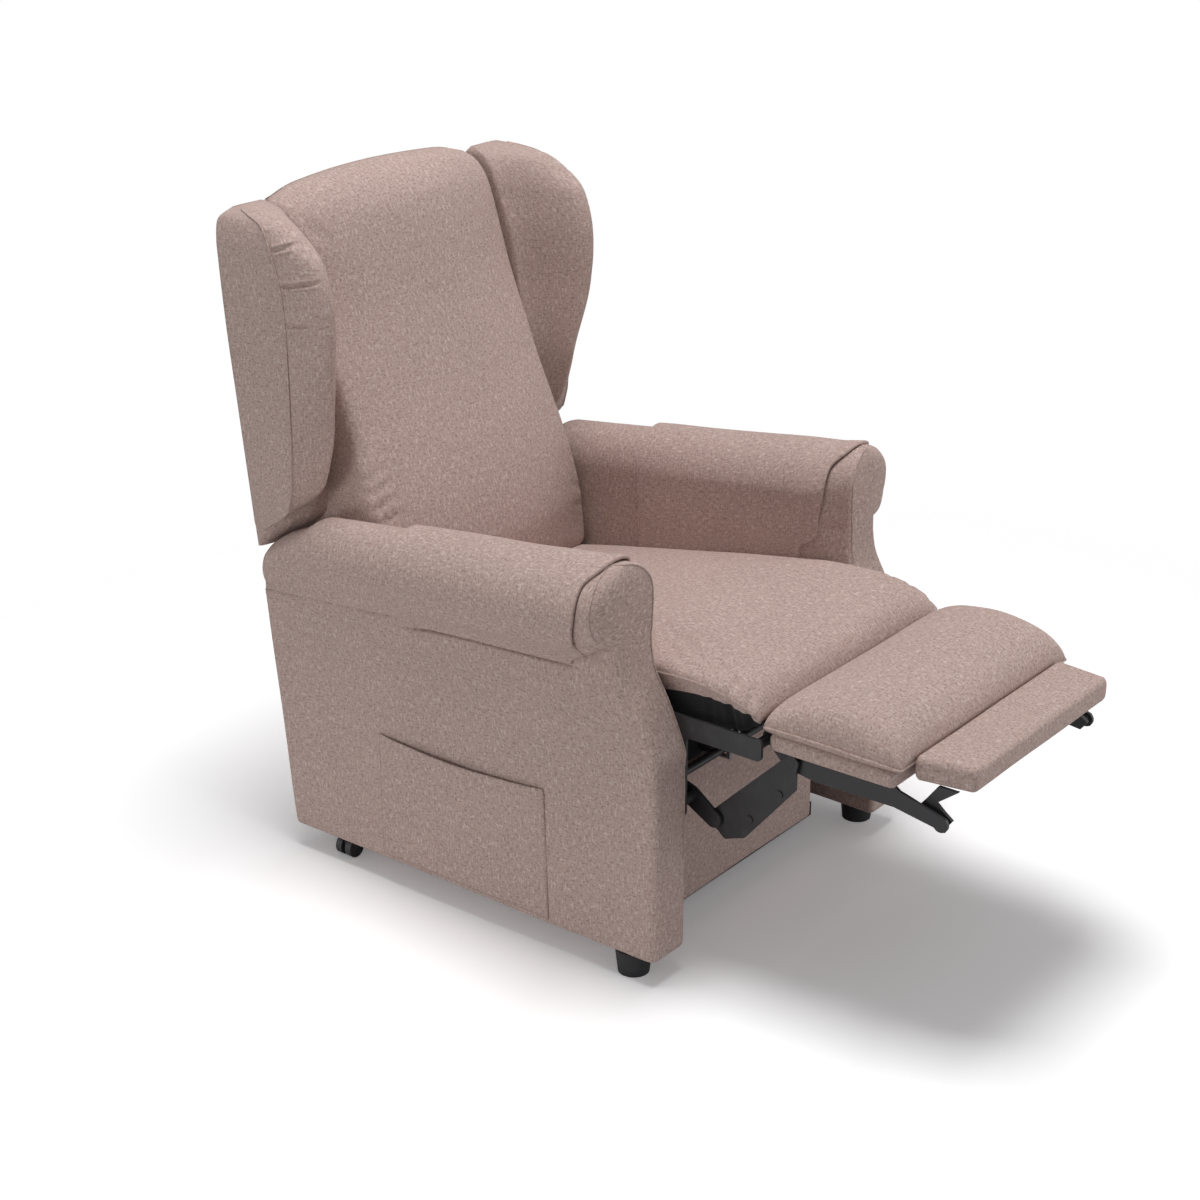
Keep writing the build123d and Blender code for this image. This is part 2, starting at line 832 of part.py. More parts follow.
# Front apron, hung from the front cross tube by two straps, and the black curtain above it
with BuildPart() as front_apron:
    with BuildSketch(level_plane(apron_bottom)):
        with Locations((0, apron_back + apron_thick / 2)):
            RectangleRounded(2 * apron_half, apron_thick, 8)
    extrude(amount=apron_top - apron_bottom)
    strap_depth = front_tube[0] - tube_size / 2 - apron_back - apron_thick
    with BuildSketch(level_plane(front_tube[1] - tube_size / 2)):
        for side in (-1, 1):
            with Locations((side * apron_half * 0.72, apron_back + apron_thick + strap_depth / 2)):
                Rectangle(tube_size, strap_depth)
    extrude(amount=tube_wall)
save(front_apron, "front_apron")

with BuildPart() as dust_curtain:
    curtain_y = deck_start + curtain_thick + 16
    with BuildSketch(front_plane(curtain_y)):
        with Locations((0, (apron_top + deck_at(deck_start) - seat_rail_height) / 2)):
            Rectangle(2 * cross_half, deck_at(deck_start) - seat_rail_height - apron_top)
        with Locations((foot_side, foot_rod_height)):
            Rectangle(2 * sleeve_radius, 2 * sleeve_radius, mode=Mode.SUBTRACT)
    extrude(amount=curtain_thick)
save(dust_curtain, "dust_curtain")

# Rear apron between the arms, below the back
rear_outline = [
    (rear_at(rear_apron_bottom), rear_apron_bottom),
    (rear_at(rear_apron_top), rear_apron_top),
    (rear_at(rear_apron_top) - rear_apron_thick, rear_apron_top),
    (rear_at(rear_apron_bottom) - rear_apron_thick, rear_apron_bottom),
]
rear_apron = side_extrusion(rear_outline, -arm_inner, arm_inner)
save(rear_apron, "rear_apron")

# Back frame: two uprights that carry the hinge plates, and a top rail
upright_in = hinge_in - upright_width


def frame_outline(low, high, grow=0.0):
    front = shell_thick + seam_gap + upright_depth
    return [
        (rear_at(low) - front - grow, low - grow),
        (rear_at(high) - front - grow, high + grow),
        (rear_at(high) - shell_thick - seam_gap + grow, high + grow),
        (rear_at(low) - shell_thick - seam_gap + grow, low - grow),
    ]


for side, word in ((-1, "right"), (1, "left")):
    with BuildPart() as upright:
        with BuildSketch(side_plane(side * upright_in)):
            Polygon(*frame_outline(upright_bottom, upright_top), align=None)
        extrude(amount=side * upright_width)
        with BuildSketch(side_plane(side * hinge_in)):
            with Locations(back_pivot):
                Circle(eye_radius)
            for level in (upright_bottom + hinge_corner, hinge_plate_top - hinge_corner):
                with Locations((rear_at(level) - shell_thick - upright_depth, level)):
                    Circle(hinge_corner)
            make_hull()
            with Locations(back_pivot):
                Circle(pin_radius + running, mode=Mode.SUBTRACT)
        extrude(amount=side * hinge_plate)
    save(upright, f"back_upright_{word}")

top_rail_low = upright_top - upright_width
back_top_rail = side_extrusion(frame_outline(top_rail_low, upright_top), -upright_in, upright_in)
save(back_top_rail, "back_top_rail")

# Back cushion: a tall pad with a crowned front, hollowed for the frame
with BuildPart() as back_cushion:
    for share, depth, crown in back_sections:
        z = back_bottom + share * (back_height - back_bottom)
        half = back_half - (back_top_draw if share == 1 else 0)
        rear = rear_at(z) - shell_thick - seam_gap
        front = rear_at(z) - depth
        with BuildSketch(level_plane(z)):
            with BuildLine():
                Line((-half, rear), (half, rear))
                Line((half, rear), (half, front))
                ThreePointArc((half, front), (0, front - crown), (-half, front))
                Line((-half, front), (-half, rear))
            make_face()
    loft()
    for x_from, x_to in ((-hinge_in, -upright_in), (upright_in, hinge_in)):
        with BuildSketch(side_plane(x_from - seam_gap)):
            Polygon(*frame_outline(upright_bottom, upright_top, seam_gap), align=None)
        extrude(amount=x_to - x_from + 2 * seam_gap, mode=Mode.SUBTRACT)
    with BuildSketch(side_plane(-upright_in)):
        Polygon(*frame_outline(top_rail_low, upright_top, seam_gap), align=None)
    extrude(amount=2 * upright_in, mode=Mode.SUBTRACT)
    with BuildSketch(side_plane(-hinge_in)):
        with Locations(back_pivot):
            Circle(torque_radius + lever_hub + seam_gap)
        with Locations((back_pivot[0], back_bottom)):
            Rectangle(2 * lever_room, 2 * (back_pivot[1] - back_bottom) + torque_radius)
    extrude(amount=2 * hinge_in, mode=Mode.SUBTRACT)
    notch_front = back_pivot[0] - eye_radius - layer_gap
    notch = [
        (notch_front, back_bottom - layer_gap),
        (rear_at(hinge_plate_top), back_bottom - layer_gap),
        (rear_at(hinge_plate_top), hinge_plate_top + layer_gap),
        (notch_front, hinge_plate_top + layer_gap),
    ]
    for side in (-1, 1):
        with BuildSketch(side_plane(side * (hinge_in - seam_gap))):
            Polygon(*notch, align=None)
        extrude(amount=side * (panel_half - hinge_in), mode=Mode.SUBTRACT)
save(back_cushion, "back_cushion")

# Back shell: the covered board that closes the back from behind
shell_outline = [
    (rear_at(shell_bottom), shell_bottom),
    (rear_at(back_height), back_height),
    (rear_at(back_height) - shell_thick, back_height),
    (rear_at(shell_bottom) - shell_thick, shell_bottom),
]
shell_half = wing_inner - seam_gap
back_shell = side_extrusion(shell_outline, -shell_half, shell_half)
save(back_shell, "back_shell")



# Wings: padded side pieces that stand out in front of the back cushion
def corner(edge_x, edge_y, tip_x, tip_y):
    turn = sin(radians(45))
    return (tip_x + (edge_x - tip_x) * turn, edge_y + (tip_y - edge_y) * turn)


def make_wing(side, name):
    with BuildPart() as wing:
        for share, seam_depth, front_depth, crease_depth, draw_in in wing_sections:
            z = wing_bottom + share * (back_height - wing_bottom)
            rear = rear_at(z)
            seam = rear - seam_depth
            front = rear - front_depth
            crease = rear - crease_depth
            outer = side * (panel_half - draw_in)
            inner = side * wing_inner
            middle = side * (panel_half + wing_inner) / 2
            with BuildSketch(level_plane(z)):
                with BuildLine():
                    Line((inner, rear), (outer, rear))
                    Line((outer, rear), (outer, seam))
                    ThreePointArc((outer, seam), corner(outer, seam, middle, front), (middle, front))
                    ThreePointArc((middle, front), corner(inner, crease, middle, front), (inner, crease))
                    Line((inner, crease), (inner, rear))
                make_face()
        loft()
    save(wing, name)


for side, word in ((-1, "right"), (1, "left")):
    make_wing(side, f"wing_{word}")

# Footrest: a covered board with a padded top, on two rails
board_rear = foot_pivot[0] - pin_radius - rail_eye_wall - layer_gap
board_half = seat_half - board_inset
with BuildPart() as footrest_board:
    with BuildSketch(level_plane(board_bottom)):
        with Locations((0, (board_rear + pad_front + 4) / 2)):
            RectangleRounded(2 * board_half, board_rear - pad_front - 4, 12)
    extrude(amount=board_thick)
save(footrest_board, "footrest_board")

board_top = board_bottom + board_thick
with BuildPart() as footrest_pad:
    for y, draw_in, edge, crown in pad_sections:
        add(cushion_face(y, board_half - draw_in, board_top + seam_gap, edge, crown, pad_bulge))
    loft()
save(footrest_pad, "footrest_pad")


def make_footrest_rail(side, word):
    rail_outline = [
        (foot_pivot[0] - 26, board_bottom),
        (pad_front + 30, board_bottom),
        (pad_front + 12, board_bottom - 14),
        (flip_pivot[0] - 8, flip_pivot[1] + 10),
        (flip_pivot[0] - 8, flip_pivot[1] - 10),
        (pad_front + 20, flip_pivot[1] + 4),
        (board_pin[0] - 40, board_pin[1] - 22),
        (board_pin[0] + 12, board_pin[1] - 14),
    ]
    with BuildPart() as rail:
        with BuildSketch(side_plane(side * rail_in)):
            Polygon(*rail_outline, align=None)
            with Locations(foot_pivot):
                Circle(pin_radius + rail_eye_wall)
            with Locations(flip_pivot):
                Circle(12)
            with BuildLine():
                Polyline(
                    (foot_pivot[0] - 30, board_bottom),
                    (foot_pivot[0] - 6, foot_pivot[1] - 11.5),
                    (foot_pivot[0], foot_pivot[1] - 13),
                    (board_pin[0] + 12, board_pin[1] - 14),
                    close=True,
                )
            make_face()
            with Locations(foot_pivot):
                Circle(pin_radius + running, mode=Mode.SUBTRACT)
        extrude(amount=side * strip_thick)
        with BuildSketch(side_plane(side * rail_in)):
            with Locations(board_pin):
                Circle(pin_radius)
        extrude(amount=side * (drive_out - rail_in))
        with BuildSketch(side_plane(side * rail_in)):
            with Locations(flip_pivot):
                Circle(lever_pin_radius)
        extrude(amount=-side * (rail_in - foot_plate_half + 2 * plate_bracket))
    save(rail, f"footrest_rail_{word}")


# Drive links: the wide plates between the cranks and the footrest rails
def make_drive_link(side, word):
    along = (foot_pivot[0] - crank_pivot[0], foot_pivot[1] - crank_pivot[1])
    length = (along[0] ** 2 + along[1] ** 2) ** 0.5
    u = (along[0] / length, along[1] / length)
    v = (-u[1], u[0])

    def local(s, t):
        return (crank_end[0] + s * u[0] + t * v[0], crank_end[1] + s * u[1] + t * v[1])

    outline = [
        local(-14, -12),
        local(length + 12, -10),
        local(length + 14, 8),
        local(length - 2, 18),
        local(length - 22, 38),
        local(24, 50),
        local(-10, 34),
    ]
    with BuildPart() as link:
        with BuildSketch(side_plane(side * drive_in)):
            Polygon(*outline, align=None)
            fillet(vertices(), 5)
            with Locations(crank_end):
                Circle(pin_radius + running, mode=Mode.SUBTRACT)
            with Locations(board_pin):
                Circle(pin_radius + seam_gap, mode=Mode.SUBTRACT)
        extrude(amount=side * strip_thick)
        with BuildSketch(side_plane(side * drive_out)):
            with Locations(local(length * 0.3, 32), local(length * 0.72, 28)):
                Circle(6)
        extrude(amount=side * 2)
    save(link, f"drive_link_{word}")


with BuildPart() as footrest_cranks:
    for side in (-1, 1):
        with BuildSketch(side_plane(side * crank_in)):
            for place, radius in ((crank_pivot, eye_radius), (crank_end, 14), (drive_bar, 13)):
                with Locations(place):
                    Circle(radius)
            make_hull()
            with Locations(crank_pivot):
                Circle(pin_radius + running, mode=Mode.SUBTRACT)
        extrude(amount=side * strip_thick)
        with BuildSketch(side_plane(side * drive_in)):
            with Locations(crank_end):
                Circle(pin_radius)
        extrude(amount=side * (crank_in - drive_in))
save(footrest_cranks, "footrest_cranks")

with BuildPart() as footrest_drive_bar:
    with BuildSketch(side_plane(-crank_in)):
        with Locations(drive_bar):
            Circle(bar_radius)
    extrude(amount=2 * crank_in)
save(footrest_drive_bar, "footrest_drive_bar")

for side, word in ((-1, "right"), (1, "left")):
    make_footrest_rail(side, word)
    make_drive_link(side, word)

# Footplate: a small padded plate that turns over on two cranked brackets
with BuildPart() as footplate:
    plate_bottom = foot_plate_top - foot_plate_thick
    front_half = foot_plate_half - foot_plate_taper
    with BuildSketch(level_plane(plate_bottom)):
        Polygon(
            (-foot_plate_half, plate_rear),
            (-front_half, plate_front),
            (front_half, plate_front),
            (foot_plate_half, plate_rear),
            align=None,
        )
        fillet(vertices(), 9)
    extrude(amount=foot_plate_thick)
    fillet(edges().group_by(Axis.Z)[-1], 8)
save(footplate, "footplate")

with BuildPart() as footplate_brackets:
    bracket_edge = foot_plate_half - plate_bracket
    for side in (-1, 1):
        with BuildSketch(side_plane(side * (bracket_edge - plate_bracket))):
            Polygon(
                (flip_pivot[0] - 1.5 * strap_half, plate_bottom),
                (flip_pivot[0] + 1.2 * strap_half, plate_bottom),
                (flip_pivot[0] + strap_knee - 1.3 * strap_half, plate_bottom - strap_step),
                (flip_pivot[0] + strap_knee, flip_pivot[1] + strap_half * 0.7),
                (flip_pivot[0] + strap_knee - 1.3 * strap_half, flip_pivot[1] - strap_half * 0.7),
                (flip_pivot[0], flip_pivot[1] - strap_half),
                (flip_pivot[0] - strap_half * 0.9, flip_pivot[1] + strap_half * 0.2),
                (flip_pivot[0] + strap_half * 0.2, flip_pivot[1] + strap_half),
                (flip_pivot[0] + strap_knee - 2.5 * strap_half, plate_bottom - 1.2 * strap_step),
                align=None,
            )
            with Locations(flip_pivot):
                Circle(lever_pin_radius + running, mode=Mode.SUBTRACT)
        extrude(amount=side * plate_bracket)
save(footplate_brackets, "footplate_brackets")
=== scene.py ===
import json
import math

import bmesh
import bpy
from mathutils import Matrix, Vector, noise


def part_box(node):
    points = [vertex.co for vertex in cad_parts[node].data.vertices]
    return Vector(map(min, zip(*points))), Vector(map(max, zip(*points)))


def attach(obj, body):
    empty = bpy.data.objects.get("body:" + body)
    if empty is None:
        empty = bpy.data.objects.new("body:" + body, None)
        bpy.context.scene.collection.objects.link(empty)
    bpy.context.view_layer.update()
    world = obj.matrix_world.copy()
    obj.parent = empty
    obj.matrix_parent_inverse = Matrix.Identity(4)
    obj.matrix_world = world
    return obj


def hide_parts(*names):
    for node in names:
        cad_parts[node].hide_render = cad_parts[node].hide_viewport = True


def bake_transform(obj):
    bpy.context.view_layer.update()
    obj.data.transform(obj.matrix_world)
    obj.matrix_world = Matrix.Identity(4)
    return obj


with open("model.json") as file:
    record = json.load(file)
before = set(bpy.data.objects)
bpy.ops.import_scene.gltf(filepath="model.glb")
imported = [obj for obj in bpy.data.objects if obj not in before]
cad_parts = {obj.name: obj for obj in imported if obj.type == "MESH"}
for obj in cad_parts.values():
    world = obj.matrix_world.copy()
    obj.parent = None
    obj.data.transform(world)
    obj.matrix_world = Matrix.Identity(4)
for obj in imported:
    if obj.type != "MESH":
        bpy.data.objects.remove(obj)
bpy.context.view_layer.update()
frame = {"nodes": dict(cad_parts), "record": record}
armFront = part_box("arm_right")[0].y  # the arms' front face: lengths along the seat start here
leanSlope = math.tan(math.radians(6.4))  # the chair's rear face leans back
sides = (("right", -1), ("left", 1))
print("frame loaded with", len(frame["nodes"]), "nodes")


# Places are in millimetres, y counted from the arms' front face
def at(x, y, z):
    return Vector((x / 1000, armFront + y / 1000, z / 1000))


def rearAt(z):
    return armLook["rear"] + (z - armLook["bottom"]) * leanSlope


def mix(a, b, share):
    return a + (b - a) * share


def ease(low, high, value):
    share = min(max((value - low) / (high - low), 0), 1)
    return share * share * (3 - 2 * share)


def spread(low, high, count):
    return [mix(low, high, k / count) for k in range(count + 1)]


def readTable(table, spot):
    # smooth run through the rows, with no overshoot
    if spot <= table[0][0]:
        return list(table[0][1:])
    if spot >= table[-1][0]:
        return list(table[-1][1:])
    k = max(n for n in range(len(table) - 1) if table[n][0] <= spot)
    near, far = table[k], table[k + 1]
    before, after = table[max(k - 1, 0)], table[min(k + 2, len(table) - 1)]
    step = far[0] - near[0]
    share = (spot - near[0]) / step
    values = []
    for c in range(1, len(near)):
        rise = (far[c] - near[c]) / step
        slopes = ((far[c] - before[c]) / (far[0] - before[0]), (after[c] - near[c]) / (after[0] - near[0]))
        slopes = [0 if s * rise <= 0 else math.copysign(min(abs(s), 3 * abs(rise)), rise) for s in slopes]
        turn = share * share * (3 - 2 * share)
        leave = share * (1 - share) ** 2 * step
        reach = -share * share * (1 - share) * step
        values.append(near[c] + (far[c] - near[c]) * turn + slopes[0] * leave + slopes[1] * reach)
    return values


def resample(points, count):
    # even steps along a line of points
    reach = [0.0]
    for a, b in zip(points, points[1:]):
        reach.append(reach[-1] + math.dist(a, b))
    out = []
    k = 0
    for want in spread(0, reach[-1], count):
        while k < len(points) - 2 and reach[k + 1] < want:
            k += 1
        share = (want - reach[k]) / max(reach[k + 1] - reach[k], 1e-9)
        out.append(tuple(mix(a, b, share) for a, b in zip(points[k], points[k + 1])))
    return out


def roundRect(a0, a1, b0, b1, r, flats):
    # closed outline with rounded corners, as pairs
    r = min(r, 0.49 * (a1 - a0), 0.49 * (b1 - b0))
    corners = [(a0 + r, b0 + r), (a1 - r, b0 + r), (a1 - r, b1 - r), (a0 + r, b1 - r)]
    line = [(a0 + r, b0)]
    for k in range(4):
        start, end = corners[k], corners[(k + 1) % 4]
        turns = [math.radians(90 * (k - 1 + n / flats[2])) for n in range(flats[2] + 1)]
        out = (r * math.cos(turns[0]), r * math.sin(turns[0]))
        for share in spread(0, 1, flats[k % 2])[1:]:
            line.append((mix(start[0], end[0], share) + out[0], mix(start[1], end[1], share) + out[1]))
        line += [(end[0] + r * math.cos(t), end[1] + r * math.sin(t)) for t in turns[1:]]
    return line


def skinRings(rings, darkFrom=None, shut=True):
    # a grid wrapped over rings of points, with its threads as a map in metres
    shape = bmesh.new()
    weave = shape.loops.layers.uv.new("weave")
    across, along = len(rings[0]) - 1, len(rings) - 1
    bmesh.ops.create_grid(shape, x_segments=across, y_segments=along, size=1.0)
    girths = [sum((b - a).length for a, b in zip(ring, ring[1:])) for ring in rings]
    widest = rings[girths.index(max(girths))]
    warp = [0.0]
    for a, b in zip(widest, widest[1:]):
        warp.append(warp[-1] + (b - a).length)
    weft = [0.0]
    for last, ring in zip(rings, rings[1:]):
        steps = sorted((b - a).length for a, b in zip(last, ring))
        weft.append(weft[-1] + steps[len(steps) // 2])
    shape.verts.index_update()
    for count, face in enumerate(shape.faces):
        if darkFrom is not None and count % across >= darkFrom:
            face.material_index = 1
        for corner in face.loops:
            row, column = divmod(corner.vert.index, across + 1)
            corner[weave].uv = (warp[column], weft[row])
    for vert in shape.verts:
        row, column = divmod(vert.index, across + 1)
        vert.co = rings[row][column]
    bmesh.ops.remove_doubles(shape, verts=shape.verts, dist=2e-5)
    bmesh.ops.dissolve_degenerate(shape, dist=1e-6, edges=shape.edges)
    if shut:
        bmesh.ops.holes_fill(shape, edges=[edge for edge in shape.edges if edge.is_boundary], sides=0)
    bmesh.ops.recalc_face_normals(shape, faces=shape.faces)
    return shape


def closeEnds(rings, flatten):
    # one more ring at each end, drawn in by flatten, which takes a point and the end, 0 or -1
    first, last = [[flatten(point, end) for point in rings[end]] for end in (0, -1)]
    return [first] + rings + [last]


def roundEnd(r, steps):
    # steps along a rounded end, and how far each is inset
    turns = [math.radians(90 * k / steps) for k in range(steps + 1)]
    return [(r * (1 - math.cos(t)), r * (1 - math.sin(t))) for t in turns]


def weltAlong(path, radius, flats=6):
    # sewn cord along a seam
    rings = [[path[0]] * (flats + 1)]
    for k, point in enumerate(path):
        ahead = (path[min(k + 1, len(path) - 1)] - path[max(k - 1, 0)]).normalized()
        lift = Vector((0, 0, 1)) if abs(ahead.z) < 0.8 else Vector((1, 0, 0))
        across = ahead.cross(lift).normalized()
        above = across.cross(ahead)
        turns = [2 * math.pi * n / flats for n in range(flats)] + [0]
        rings.append([point + (across * math.cos(t) + above * math.sin(t)) * radius / 1000 for t in turns])
    rings.append([path[-1]] * (flats + 1))
    return skinRings(rings)


def handMade(shape, amount, grain, seed):
    # slow unevenness of stuffed cloth
    shape.normal_update()
    start = Vector((seed, 3.1 * seed, 0))
    moves = [v.normal * noise.noise(v.co * grain + start) * amount / 1000 for v in shape.verts]
    for vert, move in zip(shape.verts, moves):
        vert.co += move


def pressFolds(shape, folds, ignore=None):
    # each fold: from, to, width and depth in millimetres; one axis may be left out of the distance
    shape.normal_update()
    moves = {}
    for start, end, width, depth in folds:
        run = end - start
        if ignore is not None:
            run[ignore] = 0
        for vert in shape.verts:
            away = vert.co - start
            facing = 1.0
            if ignore is not None:
                away[ignore] = 0
                facing = ease(0.1, 0.5, abs(vert.normal[ignore]))
            share = away.dot(run) / run.length_squared
            if -0.4 < share < 1.4:
                far = (away - run * share).length * 1000 / width
                if far < 3:
                    fade = ease(-0.35, 0.25, share) * (1 - ease(0.55, 1.35, share)) * facing
                    press = math.exp(-far * far) - 0.42 * math.exp(-((far - 1.5) ** 2) * 1.6)
                    moves[vert] = moves.get(vert, Vector()) - vert.normal * press * fade * depth / 1000
    for vert, move in moves.items():
        vert.co += move


def foldPiece(piece, folds, ignore):
    shape = bmesh.new()
    shape.from_mesh(piece.data)
    pressFolds(shape, folds, ignore)
    shape.to_mesh(piece.data)
    shape.free()


def makePiece(name, shapes, cloths):
    whole = bmesh.new()
    for shape in shapes:
        part = bpy.data.meshes.new("part")
        shape.to_mesh(part)
        shape.free()
        whole.from_mesh(part)
        bpy.data.meshes.remove(part)
    mesh = bpy.data.meshes.new(name)
    whole.to_mesh(mesh)
    whole.free()
    mesh.shade_smooth()
    for cloth in cloths:
        mesh.materials.append(cloth)
    piece = bpy.data.objects.new(name, mesh)
    bpy.context.scene.collection.objects.link(piece)
    return piece


stuffLook = {
    "quality": 5, "mass": 0.35, "tension_stiffness": 30, "compression_stiffness": 20, "shear_stiffness": 12,
    "bending_stiffness": 2.0, "use_pressure": True, "uniform_pressure_force": 3.0,
    "vertex_group_mass": "held",
}
stuffSteps = 20


def plump(piece, most, holds):
    # stuffing: cloth with air inside, held where holds gives 1, moved by less than most
    mesh = piece.data
    rest = [v.co.copy() for v in mesh.vertices]
    held = piece.vertex_groups.new(name="held")
    for v in mesh.vertices:
        weight = holds(v.co.x * 1000, (v.co.y - armFront) * 1000, v.co.z * 1000)
        if weight > 0:
            held.add([v.index], min(weight, 1), "REPLACE")
    stuffing = piece.modifiers.new("stuffing", "CLOTH")
    for setting, value in stuffLook.items():
        setattr(stuffing.settings, setting, value)
    stuffing.settings.effector_weights.gravity = 0
    stuffing.collision_settings.use_collision = False
    stuffing.point_cache.frame_start = 1
    stuffing.point_cache.frame_end = stuffSteps
    scene = bpy.context.scene
    for step in range(1, stuffSteps + 1):
        scene.frame_set(step)
    shown = piece.evaluated_get(bpy.context.evaluated_depsgraph_get())
    swollen = [v.co.copy() for v in shown.data.vertices]
    piece.modifiers.remove(stuffing)
    piece.vertex_groups.remove(held)
    scene.frame_set(1)
    for v, start, end in zip(mesh.vertices, rest, swollen):
        move = end - start
        far = move.length * 1000
        if far > 1e-6:
            v.co = start + move * (most * math.tanh(far / most) / far)
    mesh.update()
    print("stuffed", piece.name)


def feed(tree, node, values):
    # each socket, by name or number, takes a link from another node or a fixed value
    for socket, value in values.items():
        if hasattr(value, "links"):
            tree.links.new(value, node.inputs[socket])
        else:
            node.inputs[socket].default_value = value


def addNode(tree, kind, spot, **values):
    node = tree.nodes.new(kind)
    node.location = spot
    feed(tree, node, values)
    return node


def mathNode(tree, job, spot, a, b):
    node = addNode(tree, "ShaderNodeMath", spot)
    node.operation = job
    feed(tree, node, {0: a, 1: b})
    return node.outputs[0]


def mixColour(tree, how, spot, amount, a, b):
    node = addNode(tree, "ShaderNodeMix", spot)
    node.data_type = "RGBA"
    node.blend_type = how
    feed(tree, node, {0: amount, 6: a, 7: b})
    return node.outputs[2]


def between(tree, spot, value, low, high):
    # 0 below low, 1 above high, smooth between
    node = addNode(tree, "ShaderNodeMapRange", spot)
    node.interpolation_type = "SMOOTHSTEP"
    feed(tree, node, {"Value": value, "From Min": low, "From Max": high})
    return node.outputs["Result"]


def newGroup(name, inputs, outputs):
    tree = bpy.data.node_groups.new(name, "ShaderNodeTree")
    for way, sockets in (("INPUT", inputs), ("OUTPUT", outputs)):
        for socket, kind in sockets.items():
            tree.interface.new_socket(socket, in_out=way, socket_type="NodeSocket" + kind)
    return tree, addNode(tree, "NodeGroupInput", (-1400, 0)), addNode(tree, "NodeGroupOutput", (900, 0))


def newMaterial(name):
    made = bpy.data.materials.new(name)
    made.use_nodes = True
    shader = made.node_tree.nodes["Principled BSDF"]
    shader.location = (300, 0)
    return made, made.node_tree, shader


# Woven cloth: two thread directions, flecked yarns, slow blotches
def clothGroup():
    wants = {"Threads": "Vector", "Base": "Color", "Light": "Color", "Dark": "Color",
             "Fleck": "Float", "Pitch": "Float"}
    tree, come, leave = newGroup("wovenCloth", wants, {"Color": "Color", "Height": "Float", "Rough": "Float"})
    threads = come.outputs["Threads"]

    def yarn(name, scale, detail, row, size):
        place = addNode(tree, "ShaderNodeMapping", (-1100, row), Scale=scale, Vector=threads)
        grain = addNode(tree, "ShaderNodeTexNoise", (-900, row), Scale=size, Detail=detail, Roughness=0.6)
        grain.label = name
        feed(tree, grain, {"Vector": place.outputs[0]})
        return grain.outputs["Fac"]

    warp = yarn("warp flecks", (1, 0.28, 1), 2.0, 500, 310)
    weft = yarn("weft flecks", (0.5, 1, 1), 2.0, 250, 310)
    patch = yarn("blotches", (1, 1, 1), 3.0, 0, 34)
    slow = yarn("fading", (1, 1, 1), 1.0, -250, 6)
    flecks = []
    for row, yarns in ((500, warp), (250, weft)):
        shown = between(tree, (-650, row), yarns, 0.49, 0.68)
        flecks.append(mathNode(tree, "MULTIPLY", (-450, row), shown, come.outputs["Fleck"]))
    tone = mixColour(tree, "MIX", (-200, 400), flecks[0], come.outputs["Base"], come.outputs["Light"])
    tone = mixColour(tree, "MIX", (0, 300), flecks[1], tone, come.outputs["Dark"])
    patch = mathNode(tree, "MULTIPLY", (-650, 0), patch, 0.16)
    slow = mathNode(tree, "MULTIPLY", (-650, -250), slow, 0.10)
    cloudy = mathNode(tree, "ADD", (-450, 0), patch, slow)
    cloudy = mathNode(tree, "ADD", (-250, -50), cloudy, 0.87)
    rinse = addNode(tree, "ShaderNodeCombineColor", (50, -50))
    feed(tree, rinse, {0: cloudy, 1: cloudy, 2: cloudy})
    tone = mixColour(tree, "MULTIPLY", (250, 200), 1.0, tone, rinse.outputs[0])

    # over and under of the threads
    apart = addNode(tree, "ShaderNodeSeparateXYZ", (-1100, -600), Vector=threads)
    waves = []
    for place, row in ((0, -500), (1, -750)):
        turn = mathNode(tree, "MULTIPLY", (-900, row), apart.outputs[place], come.outputs["Pitch"])
        waves.append(mathNode(tree, "SINE", (-700, row), turn, 0))
    plain = mathNode(tree, "MULTIPLY", (-500, -600), waves[0], waves[1])
    plain = mathNode(tree, "MULTIPLY", (-300, -600), plain, 0.5)
    slub = mathNode(tree, "ADD", (-300, -750), warp, weft)
    height = mathNode(tree, "ADD", (-100, -600), plain, slub)
    rough = mathNode(tree, "MULTIPLY", (-100, -400), warp, 0.15)
    rough = mathNode(tree, "ADD", (100, -400), rough, 0.82)
    feed(tree, leave, {"Color": tone, "Height": height, "Rough": rough})
    return tree


wovenCloth = clothGroup()


def clothMaterial(name, look):
    made, tree, shader = newMaterial(name)
    weave = addNode(tree, "ShaderNodeUVMap", (-700, 0))
    weave.uv_map = "weave"
    cloth = addNode(tree, "ShaderNodeGroup", (-400, 0))
    cloth.node_tree = wovenCloth
    feed(tree, cloth, {socket: (*look[socket], 1) for socket in ("Base", "Light", "Dark")})
    feed(tree, cloth, {"Threads": weave.outputs["UV"], "Fleck": look["Fleck"],
                       "Pitch": 2 * math.pi / (look["pitch"] / 1000)})
    bump = addNode(tree, "ShaderNodeBump", (0, -300), Strength=look["bump"], Distance=0.0006)
    feed(tree, bump, {"Height": cloth.outputs["Height"]})
    feed(tree, shader, {"Base Color": cloth.outputs["Color"], "Roughness": cloth.outputs["Rough"],
                        "Normal": bump.outputs["Normal"], "Sheen Weight": look["sheen"],
                        "Sheen Roughness": 0.6, "Specular IOR Level": 0.2})
    return made


taupeLook = {"Base": (0.485, 0.357, 0.315), "Light": (0.72, 0.595, 0.548), "Dark": (0.235, 0.161, 0.146),
             "Fleck": 0.6, "pitch": 3.4, "bump": 0.4, "sheen": 0.04}
blackLook = {"Base": (0.012, 0.012, 0.013), "Light": (0.03, 0.03, 0.032), "Dark": (0.006, 0.006, 0.007),
             "Fleck": 0.5, "pitch": 2.4, "bump": 0.3, "sheen": 0.05}
taupe = clothMaterial("taupeCloth", taupeLook)
blackCloth = clothMaterial("blackCloth", blackLook)


